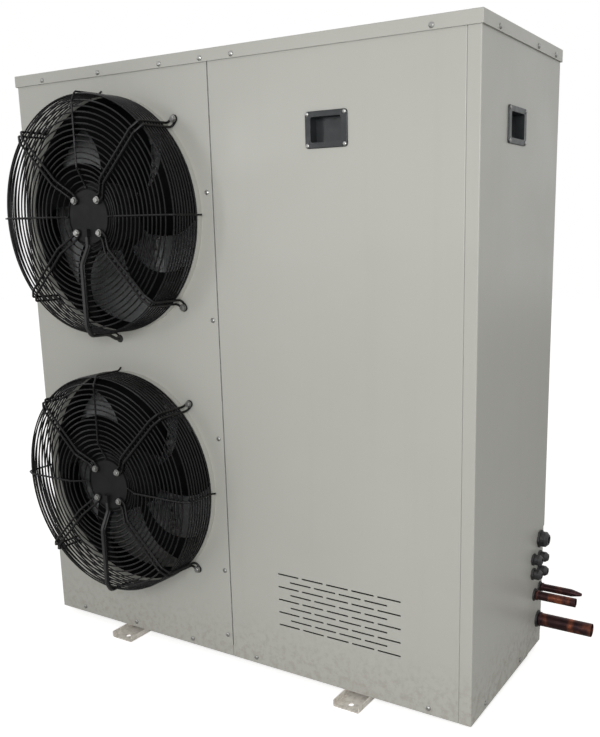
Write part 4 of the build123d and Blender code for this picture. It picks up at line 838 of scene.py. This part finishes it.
def lamp(name, place, aim, size, power):
    """A square lamp that looks from its place at a point."""
    data = bpy.data.lights.new(name, "AREA")
    data.shape = "RECTANGLE"
    data.size, data.size_y = size
    data.energy = power
    made = bpy.data.objects.new(name, data)
    back = np.subtract(place, aim)
    back = back / np.linalg.norm(back)
    side = np.cross((0, 0, 1), back)
    side /= np.linalg.norm(side)
    up = np.cross(back, side)
    made.matrix_world = placed((side, up, back), place)
    bpy.context.scene.collection.objects.link(made)


class UNIT_OT_stage(bpy.types.Operator):
    """Make the camera, the floor and the light"""

    bl_idname = "unit.stage"
    bl_label = "Stage"

    def execute(self, context):
        look = context.scene.unit_stage
        scene = context.scene
        scene.view_settings.view_transform = "Standard"
        data = bpy.data.cameras.new("camera")
        data.lens = CAMERA_LENS
        data.sensor_width = 36.0
        data.shift_x, data.shift_y = CAMERA_SHIFT
        data.clip_end = 60.0
        camera = bpy.data.objects.new("camera", data)
        camera.matrix_world = camera_matrix()
        scene.collection.objects.link(camera)
        scene.camera = camera

        world = bpy.data.worlds.new("studio")
        world.use_nodes = True
        tree = world.node_tree
        tree.nodes.clear()
        out = tree.nodes.new("ShaderNodeOutputWorld")
        seen, light = tree.nodes.new("ShaderNodeBackground"), tree.nodes.new("ShaderNodeBackground")
        seen.inputs["Strength"].default_value = 1.0
        seen.inputs["Color"].default_value = (1, 1, 1, 1)
        light.inputs["Strength"].default_value = look.world
        light.inputs["Color"].default_value = (1.0, 0.99, 0.97, 1)
        white_where_seen(tree, out.inputs["Surface"], seen.outputs[0], light.outputs[0])
        scene.world = world

        lamp("key_lamp", KEY_PLACE, KEY_AIM, KEY_SIZE, look.key)
        lamp("glint_lamp", GLINT_PLACE, GLINT_AIM, GLINT_SIZE, look.glint)

        ground = look.ground
        mesh = bpy.data.meshes.new("floor")
        corners = [(-ground, -ground, 0), (ground, -ground, 0), (ground, ground, 0), (-ground, ground, 0)]
        mesh.from_pydata(corners, [], [(0, 1, 2, 3)])
        floor = bpy.data.objects.new("floor", mesh)
        scene.collection.objects.link(floor)
        f = Finish("pale_floor")
        f.set(Base_Color=(0.82, 0.82, 0.81, 1), Roughness=0.8, Emission_Color=(1, 1, 1, 1))
        ray = f.node("ShaderNodeLightPath").outputs["Is Camera Ray"]
        f.set(Emission_Strength=f.math("MULTIPLY", ray, FLOOR_GLOW))
        mesh.materials.append(f.material)
        return {"FINISHED"}


OPERATORS = [UNIT_OT_stage, UNIT_OT_casing, UNIT_OT_guards, UNIT_OT_fans, UNIT_OT_fittings, UNIT_OT_circuit]


class UNIT_PT_looks(bpy.types.Panel):
    """The unit's settings and pieces in the sidebar"""

    bl_label = "Condensing unit"
    bl_space_type = "VIEW_3D"
    bl_region_type = "UI"
    bl_category = "Condensing unit"

    def draw(self, context):
        layout = self.layout
        for name, group in GROUPS.items():
            box = layout.box()
            for key in group.__annotations__:
                box.prop(getattr(context.scene, name), key)
        for operator in OPERATORS:
            layout.operator(operator.bl_idname)


CLASSES = [*GROUPS.values(), *OPERATORS, UNIT_PT_looks]


def register():
    """Registers the classes and gives the scene its settings."""
    for each in CLASSES:
        bpy.utils.register_class(each)
    for name, group in GROUPS.items():
        setattr(bpy.types.Scene, name, PointerProperty(type=group))


def unregister():
    """Takes the settings and classes back out."""
    for name in GROUPS:
        delattr(bpy.types.Scene, name)
    for each in reversed(CLASSES):
        bpy.utils.unregister_class(each)


def main():
    """Makes every piece in order."""
    register()
    for operator in OPERATORS:
        family, name = operator.bl_idname.split(".")
        getattr(getattr(bpy.ops, family), name)()


if __name__ == "__main__":
    main()
